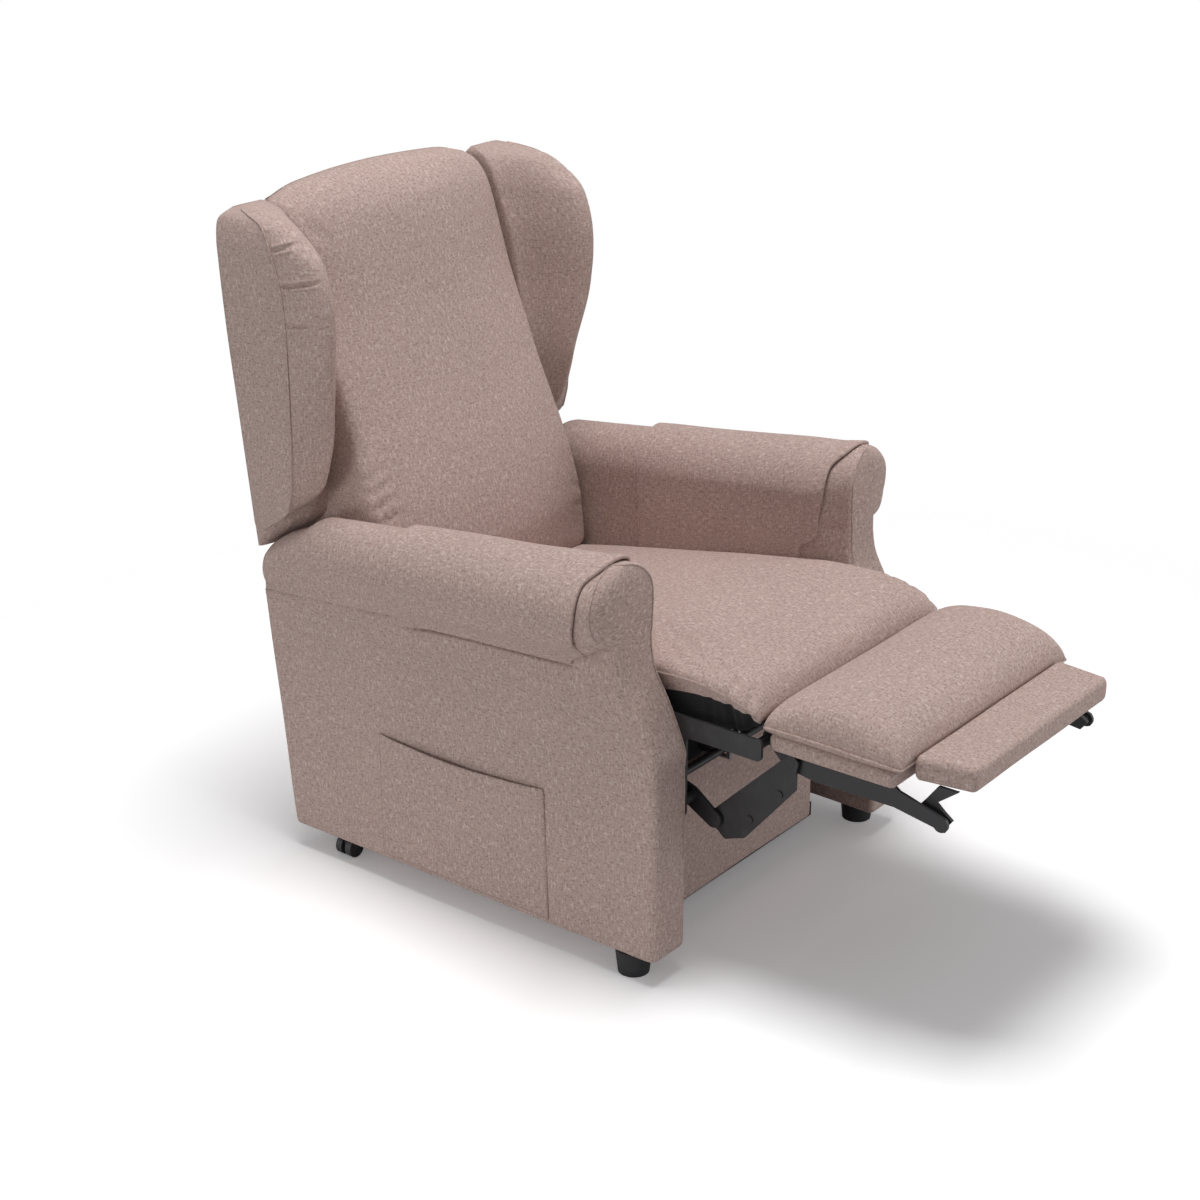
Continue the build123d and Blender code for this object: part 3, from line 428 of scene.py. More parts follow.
# Paint, plastic and bare metal share one wear pattern
def wearGroup():
    wants = {"Place": "Vector", "Base": "Color", "Worn": "Color", "Rough": "Float"}
    gives = {"Color": "Color", "Roughness": "Float", "Height": "Float"}
    tree, come, leave = newGroup("satinWear", wants, gives)
    dust = addNode(tree, "ShaderNodeTexNoise", (-650, 200), Scale=38.0, Detail=4.0, Roughness=0.6)
    grain = addNode(tree, "ShaderNodeTexNoise", (-650, -100), Scale=900.0, Detail=1.0)
    for node in (dust, grain):
        feed(tree, node, {"Vector": come.outputs["Place"]})
    worn = between(tree, (-400, 200), dust.outputs["Fac"], 0.45, 0.75)
    tone = mixColour(tree, "MIX", (-100, 200), worn, come.outputs["Base"], come.outputs["Worn"])
    rough = mathNode(tree, "MULTIPLY", (-200, 0), worn, 0.12)
    rough = mathNode(tree, "ADD", (0, 0), come.outputs["Rough"], rough)
    feed(tree, leave, {"Color": tone, "Roughness": rough, "Height": grain.outputs["Fac"]})
    return tree


satinWear = wearGroup()


def hardMaterial(name, look):
    made, tree, shader = newMaterial(name)
    place = addNode(tree, "ShaderNodeTexCoord", (-900, 0)).outputs["Object"]
    turn = addNode(tree, "ShaderNodeMapping", (-700, 0), Scale=look["stretch"], Vector=place)
    wear = addNode(tree, "ShaderNodeGroup", (-400, 0))
    wear.node_tree = satinWear
    feed(tree, wear, {"Place": turn.outputs[0], "Rough": look["rough"],
                      "Base": (*look["base"], 1), "Worn": (*look["worn"], 1)})
    bump = addNode(tree, "ShaderNodeBump", (0, -300), Strength=look["bump"], Distance=0.0003)
    feed(tree, bump, {"Height": wear.outputs["Height"]})
    feed(tree, shader, {"Base Color": wear.outputs["Color"], "Roughness": wear.outputs["Roughness"],
                        "Normal": bump.outputs["Normal"], "Metallic": look["metal"]})
    return made


hardLooks = {
    "black_steel": {"base": (0.014, 0.013, 0.015), "worn": (0.026, 0.025, 0.027), "rough": 0.46,
                    "metal": 0.0, "stretch": (1, 1, 1), "bump": 0.25},
    "bright_steel": {"base": (0.2, 0.2, 0.205), "worn": (0.14, 0.14, 0.145), "rough": 0.4,
                     "metal": 1.0, "stretch": (0.2, 1, 1), "bump": 0.1},
    "black_plastic": {"base": (0.018, 0.018, 0.02), "worn": (0.03, 0.03, 0.033), "rough": 0.5,
                      "metal": 0.0, "stretch": (1, 1, 1), "bump": 0.45},
    "wheel_plastic": {"base": (0.032, 0.032, 0.034), "worn": (0.055, 0.054, 0.054), "rough": 0.55,
                      "metal": 0.0, "stretch": (1, 1, 1), "bump": 0.3},
    "wood": {"base": (0.42, 0.27, 0.15), "worn": (0.33, 0.2, 0.1), "rough": 0.6, "metal": 0.0,
             "stretch": (0.15, 1, 1), "bump": 0.4},
}
hardMaterials = {name: hardMaterial(name + "Finish", look) for name, look in hardLooks.items()}
slotOf = {part["node"]: part["material_slot"] for part in frame["record"]["subparts"]}
for name, node in frame["nodes"].items():
    if slotOf[name] in hardMaterials:
        node.data.materials.clear()
        node.data.materials.append(hardMaterials[slotOf[name]])
print("materials made")


# Arms: a flat padded panel, a crease, and a rolled top that rises to the front
armLook = {
    "inside": 268, "outside": 348, "bottom": 41, "front": 66, "rear": 749, "neck": 546,
    "frontLine": [(41, 0), (289, 0), (358, 2), (392, 13), (442, 36), (484, 58), (519, 65), (546, 66)],
    "scroll": [(0, 348, 266, 546), (0.06, 363, 265, 550), (0.14, 378, 264, 558), (0.24, 390, 264, 571),
               (0.36, 396.5, 263, 588), (0.46, 398, 263, 603), (0.56, 396, 264, 618), (0.68, 388, 269, 634),
               (0.80, 373, 280, 649), (0.90, 354, 296, 659), (0.96, 341, 309, 663), (1, 325, 325, 664.5)],
    "rollTop": [(560, 640), (620, 607), (660, 598), (690, 588), (715, 570), (750, 555),
                (782, 533), (812, 508)],
    "hemLine": [(90, 498), (142, 497), (206, 495), (276, 491), (330, 488), (384, 484),
                (440, 479), (492, 469)],
    "rollFront": {"x": 325, "z": 591, "r": 73, "start": -71.6},
    "rollRear": {"x": 311, "z": 522, "out": 41, "inn": 46, "high": 64},
    "creaseFront": 521.7, "creaseRear": 458, "rearTop": 560,
    "seamIn": 248, "seamOut": 266,  # points of a ring where the front's seams run
    "rollDome": 14, "panelCorner": 13, "rollCorner": 11, "welt": 1.5,
    "lining": 7.4,  # the inner cloth runs over the mechanism plate
}


def alongRoll(y):
    return (y - armLook["front"]) / (armLook["rear"] - armLook["front"])


def atScroll(y):
    return 1 - ease(72, 135, y)


def creaseAt(y):
    crease = mix(armLook["creaseFront"], armLook["creaseRear"], alongRoll(y))
    return mix(crease, armLook["neck"], atScroll(y))


def rollAt(t, y):
    # outer side, inner side and height of the roll, from its crease to its top
    share = alongRoll(y)
    nose, tail = armLook["rollFront"], armLook["rollRear"]
    a = math.radians(mix(nose["start"], 90, t))
    high = nose["z"] + nose["r"] * math.sin(a)
    out = nose["x"] + nose["r"] * math.cos(a)
    inn = nose["x"] - nose["r"] * (1 if high < nose["z"] else math.cos(a))
    b = math.radians(mix(-90, 90, t))
    rearHigh = tail["z"] + tail["high"] * math.sin(b)
    rearOut = tail["x"] + tail["out"] * math.cos(b)
    rearIn = tail["x"] - tail["inn"] * math.cos(b)
    if t < 0.5:
        rearOut, rearIn = max(armLook["outside"] - 0.5, rearOut), tail["x"] - tail["inn"]
    body = (mix(out, rearOut, share), mix(inn, rearIn, share), mix(high, rearHigh, share))
    end = readTable(armLook["scroll"], t)
    out, inn, high = [mix(a, b, atScroll(y)) for a, b in zip(body, end)]
    # the wing sweeps past as the back leans, so the roll's rear end lies lower
    fall = mix(nose["z"] + nose["r"], tail["z"] + tail["high"], share) - readTable(armLook["rollTop"], y)[0]
    return out, inn, high - t * max(fall, 0) * ease(560, 640, y)


def panelAt(h, y, inset):
    high = mix(armLook["bottom"], creaseAt(y), h)
    lining = armLook["lining"] * ease(345, 372, high)
    inner = armLook["inside"] + (max(inset, 0) if h < 0.5 else 0) - lining
    inner = mix(inner, rollAt(0, y)[1], ease(430, creaseAt(y), high))
    under = (high - readTable(armLook["hemLine"], y)[0] + 3.5) / 2.8
    groove = 5.5 * math.exp(-under * under) * ease(120, 200, y) * (1 - ease(440, 500, y))
    return armLook["outside"] - inset - groove, inner, high


def armRing(side, section, front, rear, corner, dome, closed=False):
    frontOut, frontIn, frontHigh = section(front)
    rearOut, rearIn, rearHigh = section(rear)
    half = 0.48 * (frontOut - frontIn)
    r, s = min(corner, half), min(0.6 * corner, half)
    q = min(8, 0.45 * (rearOut - rearIn))
    turns = [math.radians(15 * k) for k in range(1, 7)]
    line = [(section(y)[0], y, section(y)[2]) for y in spread(front + r, rear - q, 110)]
    line += [(rearOut - q + q * math.cos(t), rear - q + q * math.sin(t), rearHigh) for t in turns]
    line += [(x, rear, rearHigh) for x in spread(rearOut - q, rearIn + q, 10)[1:]]
    line += [(rearIn + q - q * math.sin(t), rear - q + q * math.cos(t), rearHigh) for t in turns]
    line += [(section(y)[1], y, section(y)[2]) for y in spread(rear - q, front + s, 110)[1:]]
    line += [(frontIn + s - s * math.cos(t), front + s - s * math.sin(t), frontHigh) for t in turns]
    line += [(x, front, frontHigh) for x in spread(frontIn + s, frontOut - r, 14)[1:]]
    line += [(frontOut - r + r * math.sin(t), front + r - r * math.cos(t), frontHigh) for t in turns]
    line[-1] = line[0]
    middle = 0.5 * (frontOut + frontIn)
    ring = []
    for x, y, z in line:
        if dome and y < front + 60:
            away = max(0, x - middle) / max(frontOut - middle, 1)
            y += dome * away * away * (1 - ease(front + 16, front + 60, y))
        if closed:
            x = middle
            y = min(max(y, front + 40), rear - 40)
        ring.append(at(side * x, y, z))
    return ring


def armPiece(name, side):
    look = armLook
    rings, seamOut, seamIn = [], [], []
    stations = [(0, 6, True), (0, 6, False), (0.004, 2.6, False), (0.010, 0.8, False)]
    stations += [(h, 0, False) for h in spread(0.022, 0.94, 46) + spread(0.94, 0.98, 18)[1:]]
    stations += [(0.985, -0.6, False), (0.993, 0.4, False), (1.0, 2.6, False)]
    for h, inset, closed in stations:
        edge = max(inset, 0) if h < 0.5 else 0
        front = readTable(look["frontLine"], mix(look["bottom"], look["neck"], h))[0] + edge
        rear = rearAt(mix(look["bottom"], look["creaseRear"], h)) - edge
        groove = lambda y: panelAt(h, y, inset * ease(66, 120, y) if h > 0.98 else inset)
        rings.append(armRing(side, groove, front, rear, look["panelCorner"], 0, closed))
        if h > 0.3:
            seamIn.append(rings[-1][look["seamIn"]])
    for t in spread(0.01, 1, 46):
        lift = max(0, (t - 0.55) / 0.45)
        front = look["front"] + 12 * lift * lift
        rear = rearAt(mix(look["creaseRear"], look["rearTop"], t)) - 9 * t * t - 14 * max(0, t - 0.7) / 0.3
        section = lambda y: rollAt(t, y)
        corner = mix(look["panelCorner"], look["rollCorner"], ease(0, 0.3, t))
        rings.append(armRing(side, section, front, rear, corner, look["rollDome"] * ease(0, 0.3, t)))
        seamIn.append(rings[-1][look["seamIn"]])
        if t > 0.16:
            seamOut.append(rings[-1][look["seamOut"]])
    shape = skinRings(rings)
    handMade(shape, 1.5, 5.5, 2.0 + side)
    seam = seamIn[:-1] + list(reversed(seamOut))
    return makePiece("armCover_" + name, [shape, weltAlong(seam, look["welt"])], [taupe])


arms = {}
for name, side in sides:
    arms[name] = armPiece(name, side)
    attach(arms[name], "chair")
    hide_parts("arm_" + name)
print("arms made")

# Loose caps over the rolls: they hang past the crease outside and down to the seat inside
capLook = {
    "front": 92, "rear": 492, "off": 8.4, "thick": 5.6, "flap": 253, "steps": 90,
    "innerEdge": [(90, 462), (200, 448), (280, 430), (500, 388)],
}
capCurves = {}


def capCurve(y):
    # the cap's line across the roll at y, from the outer hem over the top to the inner edge
    key = round(2 * y)
    if key in capCurves:
        return capCurves[key]
    look = capLook
    part = alongRoll(y)
    nose, tail = armLook["rollFront"], armLook["rollRear"]
    middle = Vector((mix(nose["x"], tail["x"], part), mix(nose["z"], tail["z"], part)))
    lower = readTable(armLook["hemLine"], y)[0]
    inner = readTable(look["innerEdge"], y)[0]
    stand = mix(3, 10, ease(105, 210, y))  # the hem lies close at the front and stands off behind
    out = armLook["outside"] + stand
    line = [(out - 1.4, lower), (out, lower + 5), (out + 0.5, lower + 16)]
    over = [(t, 0) for t in spread(0.26, 1, 30)] + [(t, 1) for t in reversed(spread(0.5, 1, 26)[:-1])]
    for t, inward in over:
        roll = rollAt(t, y)
        away = (Vector((roll[inward], roll[2])) - middle).normalized() * look["off"]
        line.append((roll[inward] + away.x, roll[2] + away.y))
    last = line[-1]
    line.append((mix(last[0], look["flap"], 0.5), mix(last[1], inner + 22, 0.5)))
    line.append((look["flap"] + 0.5, inner + 22))
    line.append((look["flap"] + 5, inner))
    capCurves[key] = resample(line, look["steps"])
    return capCurves[key]


def capPiece(name, side):
    look = capLook
    steps = look["steps"]
    guide = capCurve(look["front"])
    top = max(z for x, z in guide)
    rows = []
    for share in spread(0, 1, steps):
        row = []
        for k, (x, z) in enumerate(guide):
            down = top - z
            front = look["front"] + 17 * ease(0, 28, down) + 10 * ease(60, 130, down)
            front += 34 * ease(135, 172, down) ** 2  # the lower corner is cut back
            y = mix(front, look["rear"] + 5 * math.sin(5 * k / steps), share)
            x, z = capCurve(y)[k]
            row.append(at(side * x, y, z))
        rows.append(row)
    shape = skinRings(rows, shut=False)
    outside = [f for f in shape.faces if f.calc_center_median().x * side > 0.36]
    if sum(f.normal.x * side for f in outside) < 0:
        bmesh.ops.reverse_faces(shape, faces=shape.faces)
    handMade(shape, 1.6, 9, 5.0 + side)
    pairs = [(k, k + 2) for k in range(0, steps - 2, 2)]
    hems = [(rows[4][a], rows[4][b], 2.4, 0.5) for a, b in pairs]
    hems += [(rows[steps - 4][a], rows[steps - 4][b], 2.4, 0.4) for a, b in pairs]
    hems += [(rows[a][4], rows[b][4], 2.4, 0.5) for a, b in pairs]
    pressFolds(shape, hems)
    bmesh.ops.solidify(shape, geom=shape.faces[:], thickness=look["thick"] / 1000)
    rim = [e for e in shape.edges if e.calc_face_angle(0) > 1.2]
    bmesh.ops.bevel(shape, geom=rim, offset=0.0022, segments=3, profile=0.5, affect="EDGES", material=-1)
    return makePiece("armCap_" + name, [shape], [taupe])


for name, side in sides:
    cap = capPiece(name, side)
    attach(cap, "chair")
    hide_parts("arm_cap_" + name)
print("caps made")

# Patch pocket on the right arm
pocketLook = {
    "front": 210, "rear": 548, "low": 52, "high": 274, "sag": 7, "bow": 7.5, "thick": 2.2,
    "slant": 8, "fall": 6, "stand": 2.6, "sewn": 1.2, "border": 8,
}


def pocketPiece():
    look = pocketLook
    rows = []
    for v in spread(0, 1, 60):
        row = []
        for u in spread(0, 1, 84):
            y = mix(look["front"] - look["slant"] * (1 - v), look["rear"], u)
            high = look["high"] - look["sag"] * math.sin(math.pi * u) - look["fall"] * u
            z = mix(look["low"], high, v)
            edge = min(u, 1 - u) * (look["rear"] - look["front"])
            stand = look["stand"] + look["bow"] * math.sin(math.pi * u) ** 0.7 * v ** 1.5
            stand = mix(look["sewn"], stand, ease(0, look["border"], edge) * ease(0, 0.03, v))
            row.append(at(-(armLook["outside"] + stand), y, z))
        rows.append(row)
    shape = skinRings(rows, shut=False)
    if sum(f.normal.x for f in shape.faces) > 0:
        bmesh.ops.reverse_faces(shape, faces=shape.faces)
    hem = [(rows[55][k], rows[55][k + 4], 2.0, 1.0) for k in range(0, 80, 4)]
    sewn = [(rows[k][3], rows[k + 4][3], 2.0, 0.9) for k in range(0, 56, 4)]
    sewn += [(rows[k][81], rows[k + 4][81], 2.0, 0.9) for k in range(0, 56, 4)]
    handMade(shape, 1.5, 11, 4.0)
    pressFolds(shape, hem + sewn)
    bmesh.ops.solidify(shape, geom=shape.faces[:], thickness=look["thick"] / 1000)
    return makePiece("pocket", [shape], [taupe])


pocket = pocketPiece()
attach(pocket, "chair")
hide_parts("side_pocket")
print("pocket made")

# Seat cushion: waterfall front, welted sides, black underside
seatLook = {
    "rows": [(-114, 253, 447, 455, 441), (-104, 255, 455, 470, 432), (-85, 257, 464, 487, 416),
             (-45, 257, 474, 500, 402), (0, 257, 479, 505, 390), (70, 257, 476, 505, 372),
             (150, 257, 463, 495, 354), (280, 257, 440, 474, 336), (400, 257, 418, 450, 324),
             (520, 257, 396, 424, 312), (609, 257, 380, 404, 305)],
    "cloth": [(-114, 443), (-90, 453), (-47, 459), (5, 457), (53, 450), (150, 434), (609, 352)],
    "folds": [(-22, 46, 5.5), (-58, 50, 7.0), (-92, 42, 6.0)], "foldShare": {-1: 0.6, 1: 0.25}, "welt": 2.6,
}


def cushionRing(y, half, edge, crown, low, cloth, counts, square, full):
    # crowned top, short side below the seam, flat underside
    top = []
    for k in range(193):
        a = math.pi * k / 192
        x = half * math.copysign(abs(math.cos(a)) ** (2 / square), math.cos(a))
        top.append((x, edge + (crown - edge) * abs(math.sin(a)) ** (2 / full)))
    cloth = max(min(cloth, edge - 2), low)
    tuck = 0.25 * (edge - cloth) + 1
    side = [(-half, edge), (-half + 0.4 * tuck, mix(edge, cloth, 0.5)), (-half + tuck, cloth)]
    under = [(-half + tuck, cloth), (-half + tuck + 24, low), (half - tuck - 24, low), (half - tuck, cloth)]
    ring = resample([(-x, z) for x, z in reversed(side)], counts[1])
    ring += resample(top, counts[0])[1:] + resample(side, counts[1])[1:]
    ring += resample(under, counts[2])[1:]
    return [at(x, y, z) for x, z in ring]


def seatPiece():
    look = seatLook
    table = look["rows"]
    rings = []
    for y in spread(table[0][0], 60, 60) + spread(60, table[-1][0], 74)[1:]:
        half, edge, crown, low = readTable(table, y)
        cloth = readTable(look["cloth"], y)[0]
        rings.append(cushionRing(y, half, edge, crown, low, cloth, (130, 5, 40), 7, 2.3))
    flatten = lambda p, end: Vector((p.x * 0.985, p.y, (table[end][2] + table[end][4]) / 2000))
    shape = skinRings(closeEnds(rings, flatten), darkFrom=140)  # black cloth from the side's lower edge
    handMade(shape, 2.2, 5, 9.0)
    shapes = [shape]
    for side in (-1, 1):
        path = []
        for y in spread(-108, 600, 120):
            half, edge, crown, low = readTable(table, y)
            path.append(at(side * (half - 0.6), y, edge))
        shapes.append(weltAlong(path, look["welt"], 8))
    return makePiece("seatCushion", shapes, [taupe, blackCloth])


seat = seatPiece()
plump(seat, 9, lambda x, y, z: 1 if abs(x) > 250 or y > 560 or y < -95 else 0.35 * ease(-40, -95, y))
folds = []
for side in (-1, 1):
    for y, reach, deep in seatLook["folds"]:
        deep *= seatLook["foldShare"][side]
        folds.append((at(side * 259, y - 6, 0), at(side * (258 - reach), y + 8, 0), 6, deep))
foldPiece(seat, folds, 2)
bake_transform(seat)
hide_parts("seat_cushion")
print("seat made")

# Back cushion: one tall pad, lumbar swell, crowned and rounded over at the top
backLook = {
    "rows": [(398, 242, 596, 10), (408, 250, 592, 16), (450, 255, 598, 24), (500, 255, 605, 31),
             (575, 252, 625, 31), (655, 244, 653, 27), (760, 237, 695, 23), (880, 237, 743, 21),
             (990, 237, 776, 20), (1030, 237, 790, 17), (1050, 237, 803, 12), (1062, 236, 816, 8),
             (1069, 235, 829, 4), (1073, 233, 846, 2)],
    "tops": [1046, 1051, 1056, 1060, 1063, 1066, 1068, 1070, 1071.5, 1072.5, 1073],
    "corner": 22, "crownTop": 16, "cornerDrop": 9,
    "pulls": [((-246, 470), (-206, 482), 5, 4.0), ((-246, 505), (-204, 516), 5, 4.2),
              ((-246, 540), (-206, 550), 5, 4.2), ((-246, 572), (-206, 584), 4.5, 3.2),
              ((-245, 596), (-204, 610), 4.5, 3.4), ((-244, 620), (-206, 632), 4.5, 3.2),
              ((-243, 642), (-210, 652), 4.5, 2.6), ((246, 470), (212, 482), 5, 1.6),
              ((246, 505), (212, 516), 5, 1.6),
              ((-236, 440), (-234, 700), 3.0, 3.0), ((236, 440), (234, 700), 3.0, 2.0)],
}


def backPiece():
    look = backLook
    rings = []
    for z in spread(398, 1040, 120) + look["tops"]:
        half, seam, crown = readTable(look["rows"], z)
        rear = rearAt(z) - mix(14, 2, ease(1030, 1062, z))
        r = min(look["corner"], 0.8 * (rear - seam))
        line = [(half, y) for y in spread(rear, seam + r, 8)]
        for k in range(1, 9):
            t = math.radians(90 * k / 8)
            line.append((half - r + r * math.cos(t), seam + r - r * math.sin(t)))
        front = []
        for x in spread(half - r, r - half, 100)[1:-1]:
            front.append((x, seam - crown * (1 - (x / (half - r)) ** 2) ** 0.8))
        line = line + front + [(-x, y) for x, y in reversed(line)]
        line += [(x, rear) for x in spread(-half, half, 40)[1:]]
        nearTop = ease(900, 1073, z)
        swell, drop = look["crownTop"] * nearTop, look["cornerDrop"] * nearTop
        rise = lambda x: swell * (1 - (x / 240) ** 2) - drop * ease(150, 240, abs(x)) ** 2
        rings.append([at(x, min(y, rear), z + rise(x)) for x, y in line])
    rears = [armFront + (rearAt(look["rows"][end][0]) - 10) / 1000 for end in (0, -1)]
    flatten = lambda p, end: Vector((p.x * 0.97, mix(p.y, rears[end], 0.9), p.z))
    shape = skinRings(closeEnds(rings, flatten))
    handMade(shape, 2.4, 4.5, 1.0)
    return makePiece("backCushion", [shape], [taupe])


back = backPiece()
plump(back, 9, lambda x, y, z: 1 if abs(x) > 230 or y > rearAt(z) - 40 or z > 1050 else 0)
folds = []
for (x0, z0), (x1, z1), width, deep in backLook["pulls"]:
    folds.append((at(x0, 0, z0), at(x1, 0, z1), width, deep))
foldPiece(back, folds, 1)
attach(back, "back")
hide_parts("back_cushion")
print("back made")

# Wings: an outer panel, a padded nose and a crease against the back cushion, with a gusset below
wingLook = {
    "rows": [(552, 792, 793, 793, 8), (556, 788, 790, 791, 3), (562, 780, 786, 789, 1),
             (570, 768, 780, 786, 0), (580, 752, 770, 780, 0), (588, 741, 757, 773, 0),
             (594, 734, 746, 766, 0), (602, 729, 731, 757, 0), (618, 724, 711, 747, 0),
             (640, 719, 693, 737, 0), (700, 715, 672, 730, 0), (750, 714, 661, 726, 0),
             (800, 713, 651, 731, 0), (850, 713, 645, 739, 0), (900, 713, 640, 748, 0),
             (950, 717, 643, 760, 0), (1000, 730, 658, 780, 1), (1020, 739, 673, 788, 2),
             (1042, 752, 704, 800, 6), (1058, 770, 738, 815, 12), (1065, 800, 786, 832, 20),
             (1069, 826, 818, 842, 30)],
    "inner": [(552, 300), (562, 298), (573, 290), (588, 276), (602, 256), (618, 246),
              (640, 240), (1080, 240)],
    "outer": 348, "welt": 1.6,
    "nose": [(600, 0.44), (720, 0.44), (850, 0.27), (1080, 0.27)],
    "pleats": [(1054, 12, 0.20, 4.0), (1022, 15, 0.28, 6.0), (969, 13, 0.30, 6.2), (909, 5, 0.20, 4.2)],
    "pleatShare": {-1: 1, 1: 0.35},
    "foot": [(527, 789), (535, 783), (546, 768), (557, 753), (566, 744), (573, 739),
             (585, 736), (640, 735)],
    "footPlan": [(346, 0), (343, 0.3), (335, 0.55), (316, 0.8), (290, 0.95), (246, 1),
                 (244, 0.9), (244, 0)],
}


def wingStrip(edge, front, crease, peak, slope):
    # share of the way from the outer seam to the inner crease, and depth; slope 1 is a plain wedge
    full = ((0, 0), (0.10, 0.36), (0.28, 0.70), (0.6, 0.94), (1.0, 1.0))
    wedge = ((0, 0), (0.10, 0.08), (0.28, 0.26), (0.6, 0.66), (1.0, 1.0))
    line = []
    for (share, a), (share, b) in zip(full, wedge):
        line.append((peak * share, mix(edge, front, mix(a, b, slope))))
    full = ((0.18, 0.07), (0.33, 0.20), (0.5, 0.42), (0.67, 0.66), (0.84, 0.86), (1.0, 1.0))
    wedge = ((0.18, 0.17), (0.33, 0.36), (0.5, 0.56), (0.67, 0.74), (0.84, 0.88), (1.0, 1.0))
    for (share, a), (share, b) in zip(full, wedge):
        line.append((mix(peak, 1, share), mix(front, crease, mix(a, b, slope))))
    return line


def wingPiece(name, side):
    look = wingLook
    rings, seam = [], []
    heights = spread(552, 640, 40) + spread(640, 880, 54)[1:] + spread(880, 1069, 110)[1:]
    for z in heights:
        edge, front, crease, draw = readTable(look["rows"], z)
        rear = rearAt(z) - 1 - 14 * ease(1042, 1072, z) ** 2
        crease, edge, front = min(crease, rear - 1), min(edge, rear - 2), min(front, rear - 2)
        outer, inner = look["outer"] - draw, readTable(look["inner"], z)[0] + 0.4 * draw
        peak = readTable(look["nose"], z)[0]
        control = wingStrip(edge, front, crease, peak, ease(850, 700, z) if z < 850 else 0)
        strip = []
        for share in spread(0, 1, 90):
            strip.append((mix(outer, inner, share), readTable(control, share)[0]))
        strip = resample(strip, 72)
        for k in range(1, 60):
            share = k / 72
            run = (Vector(strip[k + 1]) - Vector(strip[k - 1])).normalized()
            for high, rise, reach, deep in look["pleats"]:
                far = (z - high - rise * share / reach) / 3.1
                press = math.exp(-far * far) - 0.4 * math.exp(-((abs(far) - 1.5) ** 2) * 1.6)
                press *= deep * look["pleatShare"][side] * ease(0, 0.05, share)
                press *= 1 - ease(0.5 * reach, 1.3 * reach, share)
                strip[k] = (strip[k][0] + run.y * press, strip[k][1] - run.x * press)
        line = [(outer, y) for y in spread(rear, edge, 34)]
        line += strip[1:]
        line += [(inner, y) for y in spread(crease, rear, 14)[1:]]
        line += [(x, rear) for x in spread(inner, outer, 18)[1:]]
        line[-1] = line[0]
        rings.append([at(side * x, min(y, rear), z) for x, y in line])
        if z > 600:
            seam.append(at(side * (outer + 0.3), edge, z))
    rears = [armFront + (rearAt(heights[end]) - 12) / 1000 for end in (0, -1)]
    flatten = lambda p, end: Vector((mix(p.x, side * 0.3, 0.9), mix(p.y, rears[end], 0.9), p.z))
    shape = skinRings(closeEnds(rings, flatten))
    handMade(shape, 1.8, 6, 7.0 + side)
    rings = []
    for z in spread(527, 640, 40):
        front, rear = readTable(look["foot"], z)[0], rearAt(z) - 1.2
        plan = resample([(x, mix(rear, min(front, rear - 2), share)) for x, share in look["footPlan"]], 60)
        plan += [(x, rear) for x in spread(244, 346, 18)[1:]]
        plan[-1] = plan[0]
        rings.append([at(side * x, y, z) for x, y in plan])
    foot = skinRings(rings)
    handMade(foot, 1.2, 6, 3.0 + side)
    return makePiece("wingCover_" + name, [shape, foot, weltAlong(seam, look["welt"])], [taupe])


for name, side in sides:
    wing = wingPiece(name, side)
    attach(wing, "back")
    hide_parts("wing_" + name)
print("wings made")

# Boards under the same cloth: node, body, lean, rounding, thickness and what is left off the top
boardLook = {
    "backPanel": ("back_shell", "back", leanSlope, 5, 13, 10),
    "rearApron": ("rear_apron", "chair", leanSlope, 5, 13, 0),
    "frontApron": ("front_apron", "chair", 0, 7, None, 0),
    "legBoard": ("footrest_board", "footrest", 0, 9, None, 0),
}


def boardPiece(name, node, lean, r, thick, short):
    # rounded outline in side view, rounded ends
    low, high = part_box(node)
    x0, x1 = low.x * 1000, high.x * 1000
    y0, y1 = (low.y - armFront) * 1000, (high.y - armFront) * 1000
    z0, z1 = low.z * 1000, high.z * 1000 - short
    if thick:
        y1 = y0 + thick
    flats = (max(4, int((y1 - y0) / 9)), max(8, int((z1 - z0) / 9)), 4)
    middleY, middleZ = (y0 + y1) / 2, (z0 + z1) / 2
    thinY = y1 - y0 < z1 - z0

    def ring(x, inset, closed=False):
        out = []
        for y, z in roundRect(y0 + inset, y1 - inset, z0 + inset, z1 - inset, r, flats):
            if closed and thinY:
                y = middleY
            elif closed:
                z = middleZ
            out.append(at(x, y + (z - z0) * lean, z))
        return out

    ends = roundEnd(r, 4)
    rings = [ring(x0, r, True)] + [ring(x0 + a, inset) for a, inset in ends]
    rings += [ring(x, 0) for x in spread(x0 + r, x1 - r, max(20, int((x1 - x0) / 9)))[1:-1]]
    rings += [ring(x1 - a, inset) for a, inset in reversed(ends)] + [ring(x1, r, True)]
    shape = skinRings(rings)
    handMade(shape, 1.2, 6, len(name))
    return makePiece(name, [shape], [taupe])


for name, (node, body, lean, r, thick, short) in boardLook.items():
    piece = boardPiece(name, node, lean, r, thick, short)
    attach(piece, body)
    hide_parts(node)
print("boards made")

# Footrest pad and the small plate beyond it
padLook = {
    "rows": [(116.5, 245, 437, 447), (121, 248, 438, 460), (132, 250, 440, 472), (153, 251, 441, 485),
             (180, 251, 442, 494), (230, 251, 442, 501), (265, 251, 441, 498), (300, 250, 440, 489),
             (322, 248, 438, 478), (336, 246, 436, 464), (342, 244, 435, 452), (345, 242, 434, 442)],
    "low": 430.3, "endHigh": 433.5, "welt": 2.6,
}


